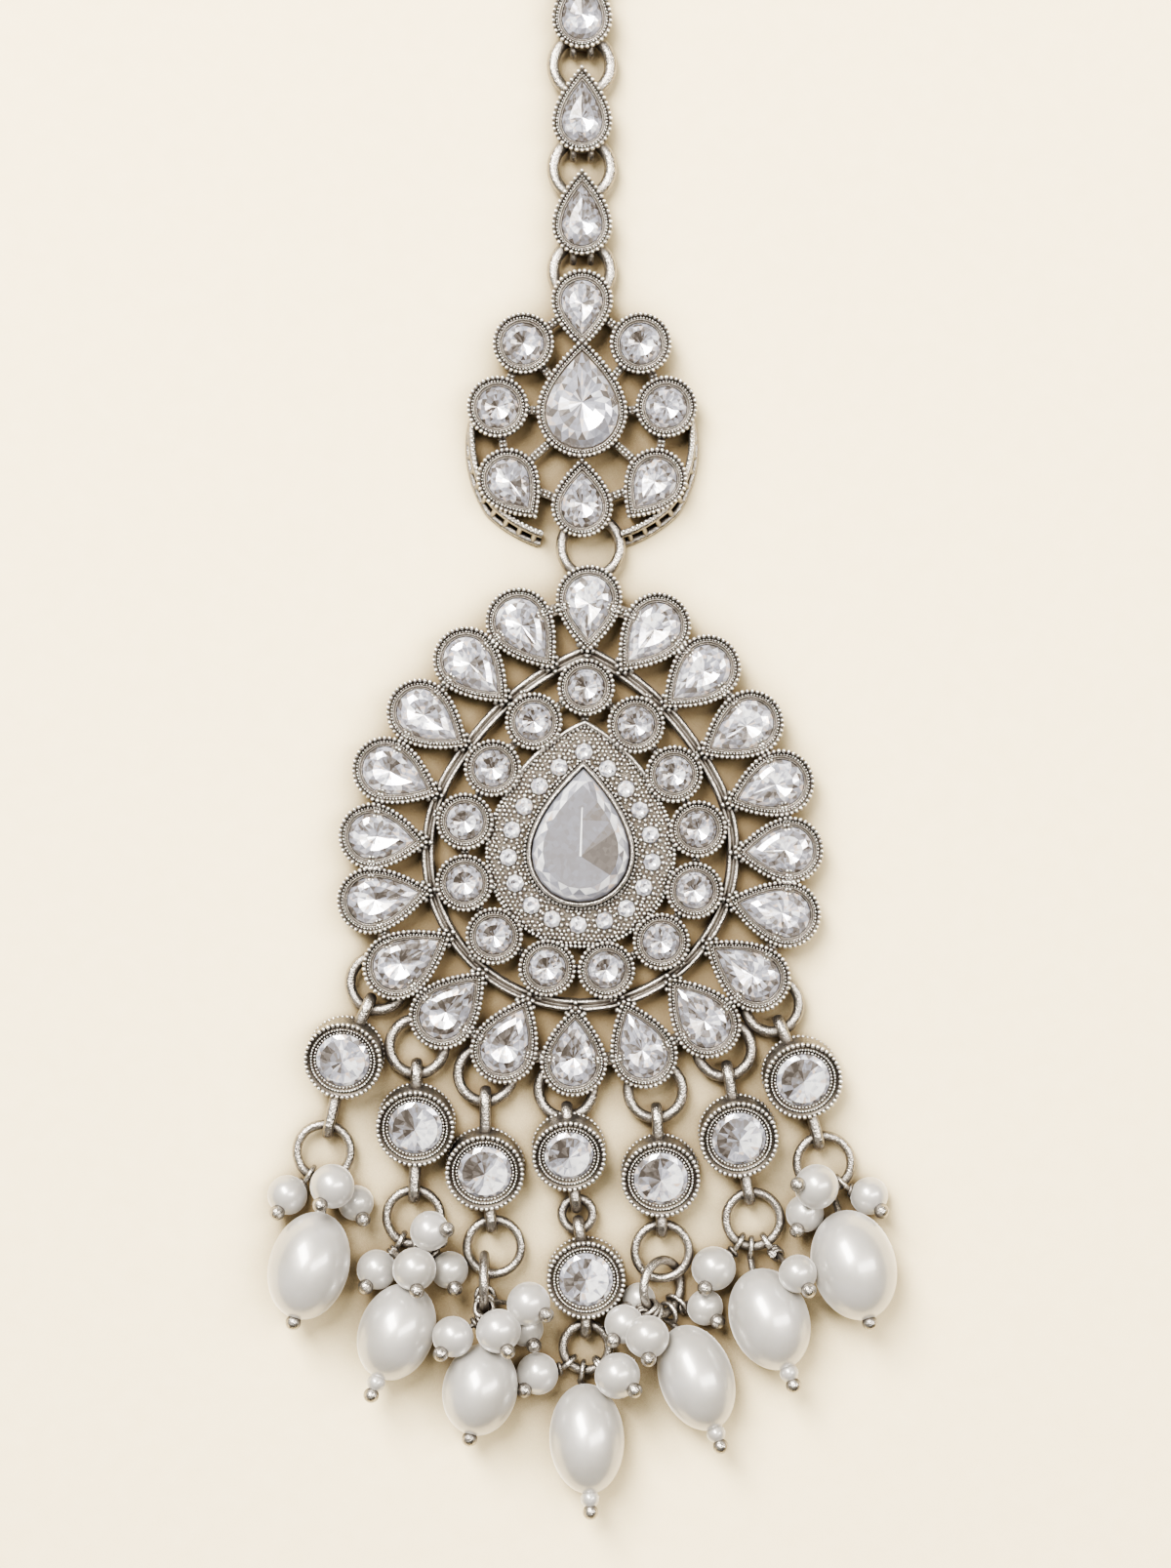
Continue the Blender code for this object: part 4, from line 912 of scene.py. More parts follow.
# %% The plate of the field and its small stones
PAVE_RING_R, PAVE_PEAK, PAVE_D = 7.0, 0.395, 1.9
PAVE_BEARINGS = (0, 16, 33.6, 52.6, 73.7, 95.7, 117, 138.8, 158.7, 180)
CROWN_GRAINS = 12
field = Pile()
rings = [placed(at_height(teardrop_line(FIELD_R - inset, FIELD_PEAK, 96), z), lean)
         for inset, z in ((0.0, 0.0), (0.0, FIELD_H - 0.25), (0.5, FIELD_H - 0.12))]
bands(field, rings[:2], WIRE)
bands(field, rings[1:], SEAT)
lid(field, rings[-1], SEAT)
lid(field, rings[0], SEAT, down=True)
pave = [np.array(on_teardrop(b, PAVE_RING_R, PAVE_PEAK).xy) for b in both_sides(PAVE_BEARINGS)]
for place in pave:
    matrix = lean @ Matrix.Translation((*place, 0))
    # The small stones get a lighter painted reflection grey.
    gem(field, round_at(PAVE_D), 0.06, FIELD_H + 0.06, 0.5, matrix, mains=4, table=0.5,
        contrast=0.5, bright=0.8)
    crown = round_line(PAVE_D / 2 + 0.12, CROWN_GRAINS)
    beads(field, at_height(crown, FIELD_H + 0.1), 0.2, matrix, GRAIN)
print("small stones in the field:", len(pave))

# %% [markdown]
# The grains themselves could be scattered, but scattered grains overlap. A hexagonal net, as
# dense as grains can lie, is laid first, the places that a stone needs are left out, and then
# every grain is nudged a little, because a caster's grains are never in line.

# %% The net of grains
CENTRE_D, CENTRE_L = 9.7, 13.2
centre_at = pear_at(CENTRE_D, CENTRE_L)


def inside_field(points):
    bearings = np.degrees(np.arctan2(points[:, 0], points[:, 1]))
    edge = np.array([on_teardrop(b, FIELD_R - 0.25, FIELD_PEAK).length for b in bearings])
    return np.linalg.norm(points, axis=1) < edge


def outside_centre(points):
    line = centre_at(-0.62, 96)
    bearing = np.arctan2(line[:, 0], line[:, 1])
    order = np.argsort(bearing)
    reach = np.interp(np.arctan2(points[:, 0], points[:, 1]), bearing[order],
                      np.linalg.norm(line, axis=1)[order], period=math.tau)
    return np.linalg.norm(points, axis=1) > reach


def clear_of_stones(points):
    nearest = np.array([min(np.linalg.norm(p - q) for q in pave) for p in points])
    return nearest > PAVE_D / 2 + 0.36


net = np.array([((i + 0.5 * (j % 2)) * 0.44, j * 0.38) for i in range(-26, 27)
                for j in range(-28, 38)])
for kept in (inside_field, clear_of_stones, outside_centre):
    net = net[kept(net)]
net = net + CUT.uniform(-0.06, 0.06, net.shape)
net = at_height(net, FIELD_H - 0.03 + CUT.uniform(-0.06, 0.04, (len(net), 1)))
beads(field, net, 0.178, lean, GRAIN)
row = even_points(teardrop_line(FIELD_R - 0.1, FIELD_PEAK, 240), 0.43)
beads(field, at_height(row, FIELD_H - 0.1), 0.22, lean, GRAIN)
crest = [leaned(on_teardrop(b, FIELD_R + 0.1, FIELD_PEAK)) for b in np.linspace(-46, 46, 41)]
tube(field, [(p.x, p.y, FIELD_H + 0.05) for p in crest], 0.24, 8, closed=False, slot=WIRE)
field.piece("pendant_field", "pendant_frame")
print("grains in the field:", len(net))

# %% [markdown]
# The large stone has a plain, smooth bezel, the only quiet line in the pendant, with one row of
# grains at its foot. A dark gap between bezel and stone makes the stone look deep.

# %% The bezel of the large stone
BEZEL_PROFILE = ((-0.42, 2.3), (-0.42, 3.0), (-0.34, 3.5), (-0.22, 3.72), (-0.1, 3.76),
                 (-0.02, 3.68), (0.03, 3.45), (0.05, 1.5))
bezel = Pile()
rings = swept(centre_at, BEZEL_PROFILE, lean, 96)
bands(bezel, rings[:-1], WIRE)
bands(bezel, rings[-2:], SEAT)
beads(bezel, at_height(even_points(centre_at(-0.55, 300), 0.4), 2.75), 0.2, lean, GRAIN)
bezel.piece("pendant_bezel", "pendant_frame")
print("faces in the bezel:", len(bezel.faces))

# %% [markdown]
# The stone's table is wide and grey, with small bright facets round it, one dark patch, and one
# straight ridge down the middle where the two long facets of the back meet. The greys are painted
# reflections: the bright facets and the ridge carry painted highlights, the patch painted dark
# reflection. The small stones' star would be wrong here, so this stone is cut by a function of its
# own.

# %% The large stone
CENTRE_H = 4.4
TABLE_GREY, DARK_REFLECTION_GREY, DIM_REFLECTION_GREY, RIDGE_HIGHLIGHT_GREY = 0.34, 0.14, 0.26, 0.95


def large_stone(pile, line_at, inset, z, rise, matrix, low, high, mains=12):
    """A pear stone with a wide table. The back's facets meet on a ridge from low to high."""
    n = mains * 2

    def ring(share, height, shift=0.0):
        fine = line_at(inset, n * 8)
        at = (np.arange(n) * 8 + int(shift * 8)) % len(fine)
        mid = np.array([0.0, low[1] * 0.6 + high[1] * 0.4])
        return at_height(mid + (fine[at] - mid) * share, height)

    girdle, skirt, crown = ring(1, z - 0.25), ring(0.97, z), ring(0.89, z + 0.5 * rise, 0.5)
    edge = ring(0.78, z + rise)
    points = np.concatenate([girdle, skirt, crown, edge, [(*low, z + rise * 0.99)],
                             [(*high, z + rise)]])
    faces, shade = [], []
    for i in range(n):
        j = (i + 1) % n
        mid_y = (edge[i][1] + edge[j][1]) / 2
        hub = 4 * n + (1 if mid_y > high[1] else 0)
        faces += [(i, j, n + j, n + i), (n + i, n + j, 2 * n + i), (2 * n + i, n + j, 2 * n + j),
                  (2 * n + i, 2 * n + j, 3 * n + j), (2 * n + i, 3 * n + j, 3 * n + i),
                  (3 * n + i, 3 * n + j, hub)]
        # The table's grey is a painted reflection, darker in a patch right of the ridge and dim
        # just above it.
        table = TABLE_GREY
        if edge[i][0] > 0.3 and low[1] - 1.5 < mid_y < high[1] + 1.5:
            table = DARK_REFLECTION_GREY if mid_y < high[1] - 1 else DIM_REFLECTION_GREY
        shade += [0.5, CUT.uniform(0.4, 0.95), CUT.uniform(0.35, 1.0), CUT.uniform(0.3, 1.0),
                  CUT.uniform(0.35, 1.0), table + CUT.uniform(-0.015, 0.015)]
        if (mid_y > high[1]) != (edge[(i - 1) % n][1] / 2 + edge[i][1] / 2 > high[1]):
            faces.append((3 * n + i, 4 * n, 4 * n + 1) if edge[i][0] < 0
                         else (3 * n + i, 4 * n + 1, 4 * n))
            shade.append(TABLE_GREY)
    pile.add(placed(points, matrix), faces, CLEAR, False, shade)
    # The ridge is a thin quad just above the table, with a painted highlight grey.
    ridge = [(low[0] - 0.1, low[1]), (low[0] + 0.1, low[1]), (high[0] + 0.05, high[1] + 1.2),
             (high[0] - 0.05, high[1] + 1.2)]
    lid(pile, placed([(x, y, z + rise * 1.01) for x, y in ridge], matrix), CLEAR,
        shade=[RIDGE_HIGHLIGHT_GREY])


centre_stone = Pile()
large_stone(centre_stone, centre_at, 0.13, CENTRE_H - 0.95, 0.9, lean, (0.0, -0.3), (0.0, 3.2))
centre_stone.piece("pendant_large_stone", "pendant_centre_stone")
print("large stone facets:", len(centre_stone.faces))

# %% [markdown]
# ## The leaf
# The leaf hangs between the chain and the pendant: a large pear stone, eight small stones round
# it, short grained bars between them, and two curved gallery walls outside the lower stones. Only
# one half is described, and the other is its mirror image, as a model maker would cast it.

# %% The leaf's places: bearing from the top, gap to the large stone, bearing of the tip
LEAF_CENTRE_D, LEAF_CENTRE_L, LEAF_CENTRE_H = 8.7, 11.4, 3.6
LEAF_STONE_D, LEAF_PEAR_L = 5.9, 7.6
LEAF_HOLD, LEAF_SHIFT = 2.0, -0.85
LEAF_STONES = (
    {"name": "top", "bearing": 0, "apart": 1.2, "tip": 180},
    {"name": "upper", "bearing": 40.4, "apart": 0.5, "tip": None},
    {"name": "middle", "bearing": 86.3, "apart": 0.3, "tip": None},
    {"name": "lower", "bearing": 132, "apart": 0.8, "tip": -144},
    {"name": "bottom", "bearing": 180, "apart": 0.62, "tip": 0},
)


def leaf_reach(row):
    """From the middle of the large stone to the middle of a small one."""
    return (LEAF_CENTRE_D + LEAF_STONE_D * (1 + row["apart"])) / 2


leaf_bottom = top_loop + NORTH * (TOP_LOOP_R - LEAF_HOLD)
leaf_bottom.x += LEAF_SHIFT
leaf_centre = leaf_bottom + NORTH * (LEAF_STONE_D / 2 + leaf_reach(LEAF_STONES[-1]))
leaf_centre.z = 0
leaf_places = []
for row in LEAF_STONES:
    for bearing in both_sides((row["bearing"],)):
        side = -1 if bearing < 0 else 1
        leaf_places.append({"name": row["name"], "side": side,
                            "place": leaf_centre + from_top(bearing) * leaf_reach(row),
                            "tip": None if row["tip"] is None else side * row["tip"]})
print("leaf stones:", len(leaf_places) + 1)

# %% [markdown]
# The leaf's settings are the pendant's cups again. The bars form a ring from stone to stone and
# spokes to the large cup, which is how a pierced casting keeps its shape.

# %% Leaf settings and bars
leaf = Pile()
for stone in leaf_places:
    if stone["tip"] is None:
        set_stone(leaf, round_at(LEAF_STONE_D), CUP_H, tip_at(stone["place"], 0), deep=0.7)
    else:
        set_stone(leaf, pear_at(LEAF_STONE_D, LEAF_PEAR_L), CUP_H,
                  tip_at(stone["place"], stone["tip"]), centre=(0.0, 0.3))
leaf_line = pear_at(LEAF_CENTRE_D, LEAF_CENTRE_L)
cup(leaf, leaf_line, LEAF_CENTRE_H, tip_at(leaf_centre, 0))
for side in (1, -1):
    row = [s for s in leaf_places if s["side"] == side or s["name"] in ("top", "bottom")]
    for a, b in zip(row, row[1:]):
        grained_bar(leaf, a["place"], b["place"])
    for stone in row[1:-1]:
        inward = (stone["place"] - leaf_centre).normalized() * (LEAF_CENTRE_D / 2 - 0.4)
        grained_bar(leaf, stone["place"], leaf_centre + inward)
tip = next(s for s in leaf_places if s["name"] == "top")["place"]
grained_bar(leaf, tip, leaf_centre + NORTH * LEAF_CENTRE_D / 2)
print("faces in the leaf's settings:", len(leaf.faces))

# %% [markdown]
# A gallery wall is a curved fence of posts between a foot rail and a top rail, dark behind. It
# could be a solid strip with holes cut in it, but a boolean cut leaves ragged faces on a curve.
# Rails and posts swept along the same curve give clean slots.

# %% The gallery walls, with their pierced slots
LEAF_WALL_FROM, LEAF_WALL_TO, LEAF_WALL_SWELL = 94, 162, 0.625
POSTS = 10


def wall_point(side, share, across, z):
    middle = next(s for s in leaf_places if s["name"] == "middle")
    lower = next(s for s in leaf_places if s["name"] == "lower")
    start = (middle["place"] - leaf_centre).length + LEAF_STONE_D / 2 - 0.45
    end = (lower["place"] - leaf_centre).length + LEAF_STONE_D / 2
    out = from_top(side * (LEAF_WALL_FROM + (LEAF_WALL_TO - LEAF_WALL_FROM) * share))
    radius = start + (end - start) * min(1.0, share / LEAF_WALL_SWELL)
    p = leaf_centre + out * (radius + across)
    return (p.x, p.y, z)


def flare(share):
    """The wall stands upright at its upper end and leans out towards its foot."""
    return 0.2 + 0.9 * min(1.0, share / 0.6)


for side in (1, -1):
    shares = np.linspace(0, 1, 40)
    for out, z0, z1 in ((0.55, 0.0, 0.5), (-0.2, 1.75, 2.45)):
        profile = ((-0.35, z0), (-0.36, z1), (-0.15, z1 + 0.14), (0.12, z1 + 0.12), (0.32, z1),
                   (0.36, z0), (-0.35, z0))
        rings = [np.array([wall_point(side, s, a + out * flare(s), z) for s in shares])
                 for a, z in profile]
        bands(leaf, rings[::side], WIRE, closed=False)
        for end in (0, -1):
            lid(leaf, np.array([ring[end] for ring in rings[:-1]])[::-side if end else side], WIRE)
    inner = [np.array([wall_point(side, s, a + 0.1 * flare(s), z) for s in shares])
             for a, z in ((-0.45, 0.2), (-0.5, 2.2), (-0.25, 2.2), (0.1, 0.2))]
    bands(leaf, inner[::side], SEAT, closed=False)
    rail = [wall_point(side, s, -0.36 * flare(s), 2.56) for s in np.linspace(0.02, 0.98, 30)]
    beads(leaf, rail, 0.2, slot=GRAIN)
    for k in range(POSTS):
        share = (k + 0.5) / POSTS
        spread = flare(share)
        post = [wall_point(side, share, 0.5 * spread, 0.3),
                wall_point(side, share, -0.15 * spread, 2.1)]
        tube(leaf, post, 0.28, 8, closed=False, slot=WIRE)
leaf.piece("leaf_settings", "leaf_frame")
leaf_stone = Pile()
gem(leaf_stone, leaf_line, 0.86, LEAF_CENTRE_H - 0.36, 0.8, tip_at(leaf_centre, 0), (0.0, 0.9),
    mains=12, table=0.66, deep=0.75, contrast=0.35, slot=CLEAR)
leaf_stone.piece("leaf_large_stone", "leaf_centre_stone")
print("leaf faces:", len(leaf.faces))

# %% [markdown]
# ## The chain and its hook
# Three pear links are joined by round rings. A ring hangs in two small lugs at the lower edge of
# each link, so each link has its lugs and its ring runs behind the next setting's tip. The lugs
# are bent tubes, since they show only as two dark bumps.

# %% The two small lugs at a setting's lower edge, which the ring hangs in
LUG_WIRE = 0.34


def lugs(pile, edge, apart=0.85, out=0.55, high=0.6):
    for side in (-1, 1):
        arc = [edge + Vector((side * apart, 0.5 - (out + 0.5) * math.cos(a), high * math.sin(a)))
               for a in np.linspace(-0.5, 0.5, 9) * math.pi]
        tube(pile, [tuple(p) for p in arc], LUG_WIRE, 8, closed=False, slot=LINK,
             normal=(1, 0, 0))


print("a lug's wire is", 2 * LUG_WIRE, "mm thick")

# %% Links and rings of the chain
CHAIN_STONE_D, CHAIN_STONE_L, CHAIN_PITCH, CHAIN_LINKS = 5.8, 8.3, 10.0, 3
CHAIN_RING_R, CHAIN_RING_REACH, RING_WIDENED = 2.75, 1.35, 1.02
CHAIN_GRAIN_PITCH = 0.53
first_ring = at_link_level(leaf_centre + NORTH * (
    leaf_reach(LEAF_STONES[0]) + LEAF_STONE_D / 2 + CHAIN_RING_R - 2 * CHAIN_RING_REACH))
chain_rings = [first_ring + NORTH * CHAIN_PITCH * i for i in range(CHAIN_LINKS + 1)]
for i, centre in enumerate(chain_rings):
    wire = Pile()
    tube(wire, loop_path(centre, (1, 0, 0), (0, 1, 0), CHAIN_RING_R * RING_WIDENED), CHAIN_SEEN,
         14, slot=LINK)
    name = f"chain_ring_{CHAIN_LINKS - i}" if i < CHAIN_LINKS else "hook_ring"
    wire.piece("round_" + name, name)
for i in range(CHAIN_LINKS):
    head = chain_rings[i] + NORTH * (CHAIN_RING_R - CHAIN_RING_REACH + CHAIN_STONE_D / 2)
    head.z = 0
    link = Pile()
    # Each link's stone gets two painted highlights, one each side.
    set_stone(link, pear_at(CHAIN_STONE_D, CHAIN_STONE_L), CUP_H, tip_at(head, 0),
              pitch=CHAIN_GRAIN_PITCH, centre=(0.0, 0.4),
              twin=CHAIN_STONE_D / 2 - STONE_INSET, contrast=0.2)
    lugs(link, at_link_level(head) - NORTH * CHAIN_STONE_D / 2)
    link.piece(f"stone_link_{CHAIN_LINKS - i}", f"chain_link_{CHAIN_LINKS - i}")
print("chain rings:", len(chain_rings), "links:", CHAIN_LINKS)

# %% [markdown]
# The chain ends in a hook that goes into the hair. It is one wire, bent back on itself, with an
# eye at one end and a ball at the other, so that it doesn't scratch.

# %% The hook
CHAIN_WIRE = 0.45
HOOK_WIRE, HOOK_STEM, HOOK_BEND, HOOK_RETURN = 0.55, 11.0, 2.4, 6.0
hook = Pile()
hook_eye = CHAIN_WIRE + PLAY + HOOK_WIRE
on_wire = chain_rings[-1] + NORTH * CHAIN_RING_R
on_wire.z = max(LINK_Z, hook_eye + HOOK_WIRE)
stem = on_wire + NORTH * hook_eye * 2
bend = stem + NORTH * HOOK_STEM + Vector((-HOOK_BEND, 0, 0))
path = [stem - NORTH * HOOK_WIRE, stem + NORTH * HOOK_STEM * 0.6]
path += [bend + HOOK_BEND * Vector((math.cos(a), math.sin(a), 0))
         for a in np.linspace(0, math.pi, 17)]
path.append(path[-1] - NORTH * HOOK_RETURN)
tube(hook, [tuple(p) for p in path], HOOK_WIRE, 12, closed=False, slot=WIRE)
tube(hook, eye_path(on_wire, on_wire + NORTH * hook_eye, UP, hook_eye), HOOK_WIRE, 12,
     slot=WIRE, normal=(1, 0, 0))
ball(hook, path[-1], 1.5 * HOOK_WIRE, slot=WIRE)
hook.piece("plain_hook", "hair_hook")
print("hook, mm long:", round((bend - on_wire).length + HOOK_BEND, 1))

# %% [markdown]
# ## Charms
# Each charm is a deep cup with a pointed stone sunk in it. The cup leans back on its eye, so its
# upper edge stands higher and its wall shows. It is the pendant's setting with a deeper throat,
# and it gets profiles of its own for the wall and the throat.

# %% The charms
CHARM_H, CHARM_COUNT, EYE_SIDE = 3.6, 72, 1.3
CHARM_WALL = ((0.30, 0.0), (0.05, 0.25), (0.05, 0.75), (0.24, 1.1), (0.24, 2.2), (0.0, 2.8),
              (0.0, 3.2))
CHARM_THROAT = ((0.0, 3.2), (0.05, 3.28), (0.30, 3.28), (0.38, 3.08), (0.56, 3.08), (0.60, 3.2),
                (0.74, 3.2), (0.80, 2.98), (0.92, 2.98), (1.10, 3.0), (1.18, 2.85))
CHARM_ROWS = ((0.12, 3.36, 0.235, 0.5), (0.66, 3.2, 0.12, 0.28), (1.00, 3.06, 0.13, 0.34),
              (0.10, 0.5, 0.22, 0.46))


def charm_eye(pile, wire, centre, edge, held_r):
    """An eye that holds a wire and runs in to the edge of the cup. Seen from above it is wide."""
    run = centre - wire
    run.z = 0
    eye_r = held_r + PLAY + EYE_WIRE
    length = max(0.2 * eye_r, run.length - edge - eye_r / 2)
    side = run.normalized().cross(UP)
    tube(pile, eye_path(wire, wire + run.normalized() * length, UP, eye_r), EYE_WIRE, 12,
         slot=LINK, normal=tuple(side), wide=EYE_SIDE)


def charm(name, hold, held, centre, low_hold, size, tilt):
    pile = Pile()
    heading = (hold - low_hold).normalized()
    slope = math.radians(tilt)
    radius = CHARM_D / 2 * size
    back = centre + heading * CHARM_H * math.sin(slope)
    back.z = radius * math.sin(slope)
    matrix = tip_at(back, math.degrees(math.atan2(heading.x, heading.y)), tilt)
    line_at = round_at(2 * radius)
    wall = swept(line_at, CHARM_WALL, matrix, CHARM_COUNT)
    bands(pile, wall, LINK)
    lid(pile, wall[0], SEAT, down=True)
    bands(pile, swept(line_at, CHARM_THROAT, matrix, CHARM_COUNT), SEAT)
    for inset, z, grain, pitch in CHARM_ROWS:
        row = even_points(line_at(inset, 200), pitch)
        beads(pile, at_height(row, z), grain, matrix, GRAIN)
    gem(pile, line_at, 1.14, 3.0, 0.45, matrix, mains=9, table=0.84, deep=-0.5, contrast=0.85,
        bright=0.56)
    low_wall = radius * math.cos(slope) - CHARM_H * math.sin(slope) + LINK_Z * math.tan(slope)
    charm_eye(pile, hold, centre, radius, held)
    charm_eye(pile, low_hold, centre, low_wall, STRAND_WIRE)
    pile.piece("stone_" + name, name)


for strand in laid:
    for row in strand["charms"]:
        charm(*row)
print("charms:", sum(len(s["charms"]) for s in laid))

# %% [markdown]
# ## Rings and pearls
# The strands' rings are thin worn wire, one or two to a strand. A torus would do for one that
# lies flat, but two of them stand up or lean, so each is swept along its own circle.

# %% The strand rings
for strand in laid:
    for ring in strand["rings"]:
        wire = Pile()
        across, down = ring_axes(ring["turn"])
        tube(wire, loop_path(ring["centre"], across, down, ring["radius"], 48), RING_SEEN, 12,
             slot=LINK, normal=tuple(across.cross(down)))
        wire.piece("round_" + ring["name"], ring["name"])
print("strand rings:", sum(len(s["rings"]) for s in laid))

# %% [markdown]
# Every pearl is threaded on a headpin, a wire with a small ball at one end and an eye bent round
# the ring at the other. So the eye comes first, and everything else starts from where it ends.

# %% The eye of a headpin
PIN_WIRE = 0.25
PIN_EYE_R = STRAND_WIRE + PLAY + PIN_WIRE


def pin_eye(pile, ring, bearing, share):
    across, down = ring_axes(ring["turn"])
    wire = on_ring(ring, bearing)
    out = (wire - ring["centre"]).normalized()
    wire.z = max(wire.z, PIN_EYE_R + PIN_WIRE + 0.1)
    end = wire + out * share * PIN_EYE_R
    end.z = max(end.z, wire.z)
    normal = down.cross(across).normalized()
    tube(pile, eye_path(wire, end, normal, PIN_EYE_R), PIN_WIRE, 8, slot=WIRE,
         normal=tuple(out.cross(normal)))
    return end + out * PIN_EYE_R


print("a pin's eye is", round(2 * PIN_EYE_R, 2), "mm across")

# %% [markdown]
# Seven large oval pearls end the strands. Each leans its own way, is a little longer or thicker
# than the next, and stops in a ball or in a tiny pearl and a ball. The table lists those
# differences, since even pearls look made by a machine.

# %% The oval pearls
BALL_D, SEED_D = 1.5, 1.8
OVAL_D, OVAL_L, OVAL_PITCH = 7.6, 10.2, 13.0
OVALS = {
    "a": {"eye": 2, "neck": 3.8, "bearing": 1, "lean": -15, "d": 1.02, "l": 1.03, "seed": 0},
    "b": {"eye": 4, "neck": 4.6, "bearing": 3, "lean": -22, "d": 0.96, "l": 0.94, "seed": 1},
    "c": {"eye": 30, "neck": 4.1, "bearing": 8, "lean": -12, "d": 0.95, "l": 0.87, "seed": 0},
    "d": {"eye": -9, "neck": 1.4, "bearing": -9, "lean": 3, "d": 0.95, "l": 1.03, "seed": 1},
    "e": {"eye": 20, "neck": 2.3, "bearing": 52, "lean": 20, "d": 0.94, "l": 1.02, "seed": 1},
    "f": {"eye": -4, "neck": 2.6, "bearing": -4, "lean": 20, "d": 1.0, "l": 0.98, "seed": 1},
    "g": {"eye": 16, "neck": 2.8, "bearing": 35, "lean": 15, "d": 1.07, "l": 1.05, "seed": 0},
}


def oval_pearl(strand, ring):
    pile = Pile()
    row = OVALS[strand]
    half_d, half_l = OVAL_D * row["d"] / 2, OVAL_L * row["l"] / 2
    pitch = math.radians(OVAL_PITCH)
    axis = from_bottom(row["lean"]) * math.cos(pitch) + UP * math.sin(pitch)
    top = on_ring(ring, 0) + from_bottom(row["bearing"]) * row["neck"] * PIN_EYE_R
    rest = math.hypot(half_l * math.sin(pitch), half_d * math.cos(pitch))
    top.z = rest - half_l * math.sin(pitch)
    centre, end = top + axis * half_l, top + axis * half_l * 2
    leave = pin_eye(pile, ring, row["eye"], 0.3)
    ball(pile, centre, half_d, axis, half_l / half_d, PEARL, 48, 30)
    tube(pile, [tuple(leave - (top - leave).normalized() * 0.2), tuple(top + axis * 0.5)],
         PIN_WIRE * 1.3, 10, closed=False, slot=WIRE)
    if row["seed"]:
        ball(pile, end + axis * SEED_D / 4, SEED_D / 2, slot=PEARL, around=20, rows=12)
        end = end + axis * 0.75 * SEED_D
    ball(pile, end + axis * BALL_D / 4, BALL_D / 2, slot=WIRE, around=20, rows=12)
    pile.piece("oval_pearl_" + strand, "oval_" + strand)


for strand in laid:
    oval_pearl(strand["name"], strand["rings"][-1])
print("oval pearls:", len(OVALS))

# %% [markdown]
# Two to four small round pearls crowd round each large one. Those near the middle share one eye
# above the ring, and those at the side have an eye of their own with three turns of wire, as a
# hand-made headpin has. Some lie on the surface and some ride on the others, which the level says.

# %% Where the small pearls lie: bearing, reach from the ring, size, level and the pin's end
PEARL_D, BALL_RISE, PEARL_SQUASH = 4.1, 40.0, 0.97
ASIDE, WIDEST, COIL_TURNS = 25, 80, 3
CLUSTER_EYES = {"a": 34, "b": -30, "c": -30, "d": 34, "e": -26, "f": 30, "g": -26}
SMALL_PEARLS = {
    "a": ((19.5, 0.68, 1.05, 1, -33), (32, 1.26, 0.85, 0, 29), (-40, 1.17, 0.95, 0, -29)),
    "b": ((-35, 1.33, 0.95, 0, -34), (3, 0.99, 1.03, 1.05, 9), (34, 1.33, 0.9, 0, 20),
          (60, 0.42, 0.93, 1, 100)),
    "c": ((-31, 1.24, 0.97, 1.1, -38), (18, 0.98, 1.05, 1.2, 28), (67, 1.0, 1.03, 1, 64),
          (40, 1.32, 0.85, 0, 30)),
    "d": ((-62, 1.14, 1.0, 0, -43), (54, 0.8, 1.08, 1, 55)),
    "e": ((-60, 0.55, 0.78, 0, -60), (-48, 1.06, 0.93, 0.8, -40), (-19, 0.98, 1.03, 1.2, 3),
          (64, 1.0, 0.86, 0, 45)),
    "f": ((-39, 1.3, 1.05, 0, -28), (41, 1.34, 0.9, 1.4, 35)),
    "g": ((-26, 0.46, 1.05, 1, -101), (54, 1.16, 0.9, 0, 40), (-21, 1.12, 0.9, 0, -30)),
}
print("small pearls:", sum(len(rows) for rows in SMALL_PEARLS.values()))

# %% The small pearls
def coil(pile, start, run):
    across = run.cross(UP).normalized()
    for turn in range(COIL_TURNS):
        place = start + run * (0.1 + turn * PIN_WIRE * 1.9)
        tube(pile, loop_path(place, across, run.cross(across), PIN_WIRE * 2, 14), PIN_WIRE * 0.85,
             6, slot=LINK, normal=tuple(run))


def small_pearls(strand, ring):
    pile = Pile()
    leave = pin_eye(pile, ring, CLUSTER_EYES[strand], 0.2)
    over = LINK_Z + PIN_EYE_R + PIN_WIRE + 0.3
    hub = Vector((leave.x, leave.y, max(leave.z, over + 2 * PIN_WIRE)))
    if hub.z > leave.z:
        tube(pile, [tuple(leave), tuple(hub)], PIN_WIRE * 1.4, 8, closed=False, slot=WIRE,
             normal=(1, 0, 0))
    for bearing, reach, size, level, end in SMALL_PEARLS[strand]:
        d = PEARL_D * size
        place = ring["centre"] + from_bottom(bearing) * reach * (RING_R + PEARL_D / 2)
        place.z = d / 2 + over * level
        rise = math.radians(BALL_RISE)
        way = from_bottom(end) * math.cos(rise) + UP * math.sin(rise)
        start = hub
        if abs(bearing) > ASIDE:
            start = pin_eye(pile, ring, max(-WIDEST, min(WIDEST, bearing * 0.8)), 0.15)
            coil(pile, start, (place - start).normalized())
        ball(pile, place, d / 2, way, PEARL_SQUASH, PEARL, 32, 20)
        tube(pile, [tuple(start), tuple(place + UP * d / 5)], PIN_WIRE, 8, closed=False,
             slot=LINK)
        ball(pile, place + way * (d + BALL_D / 2) / 2, BALL_D / 2, slot=WIRE, around=18, rows=10)
    pile.piece("small_pearls_" + strand, "cluster_" + strand)


for strand in laid:
    small_pearls(strand["name"], strand["rings"][-1])

# %% [markdown]
# ## Paper, light and camera
# The piece lies on warm white paper with a faint tooth. Where metal stands over it, in the holes
# of the pendant, hardly any light gets in and what does is warm. Few bounces of light would find
# that, so ambient occlusion shades the paper there towards brown.

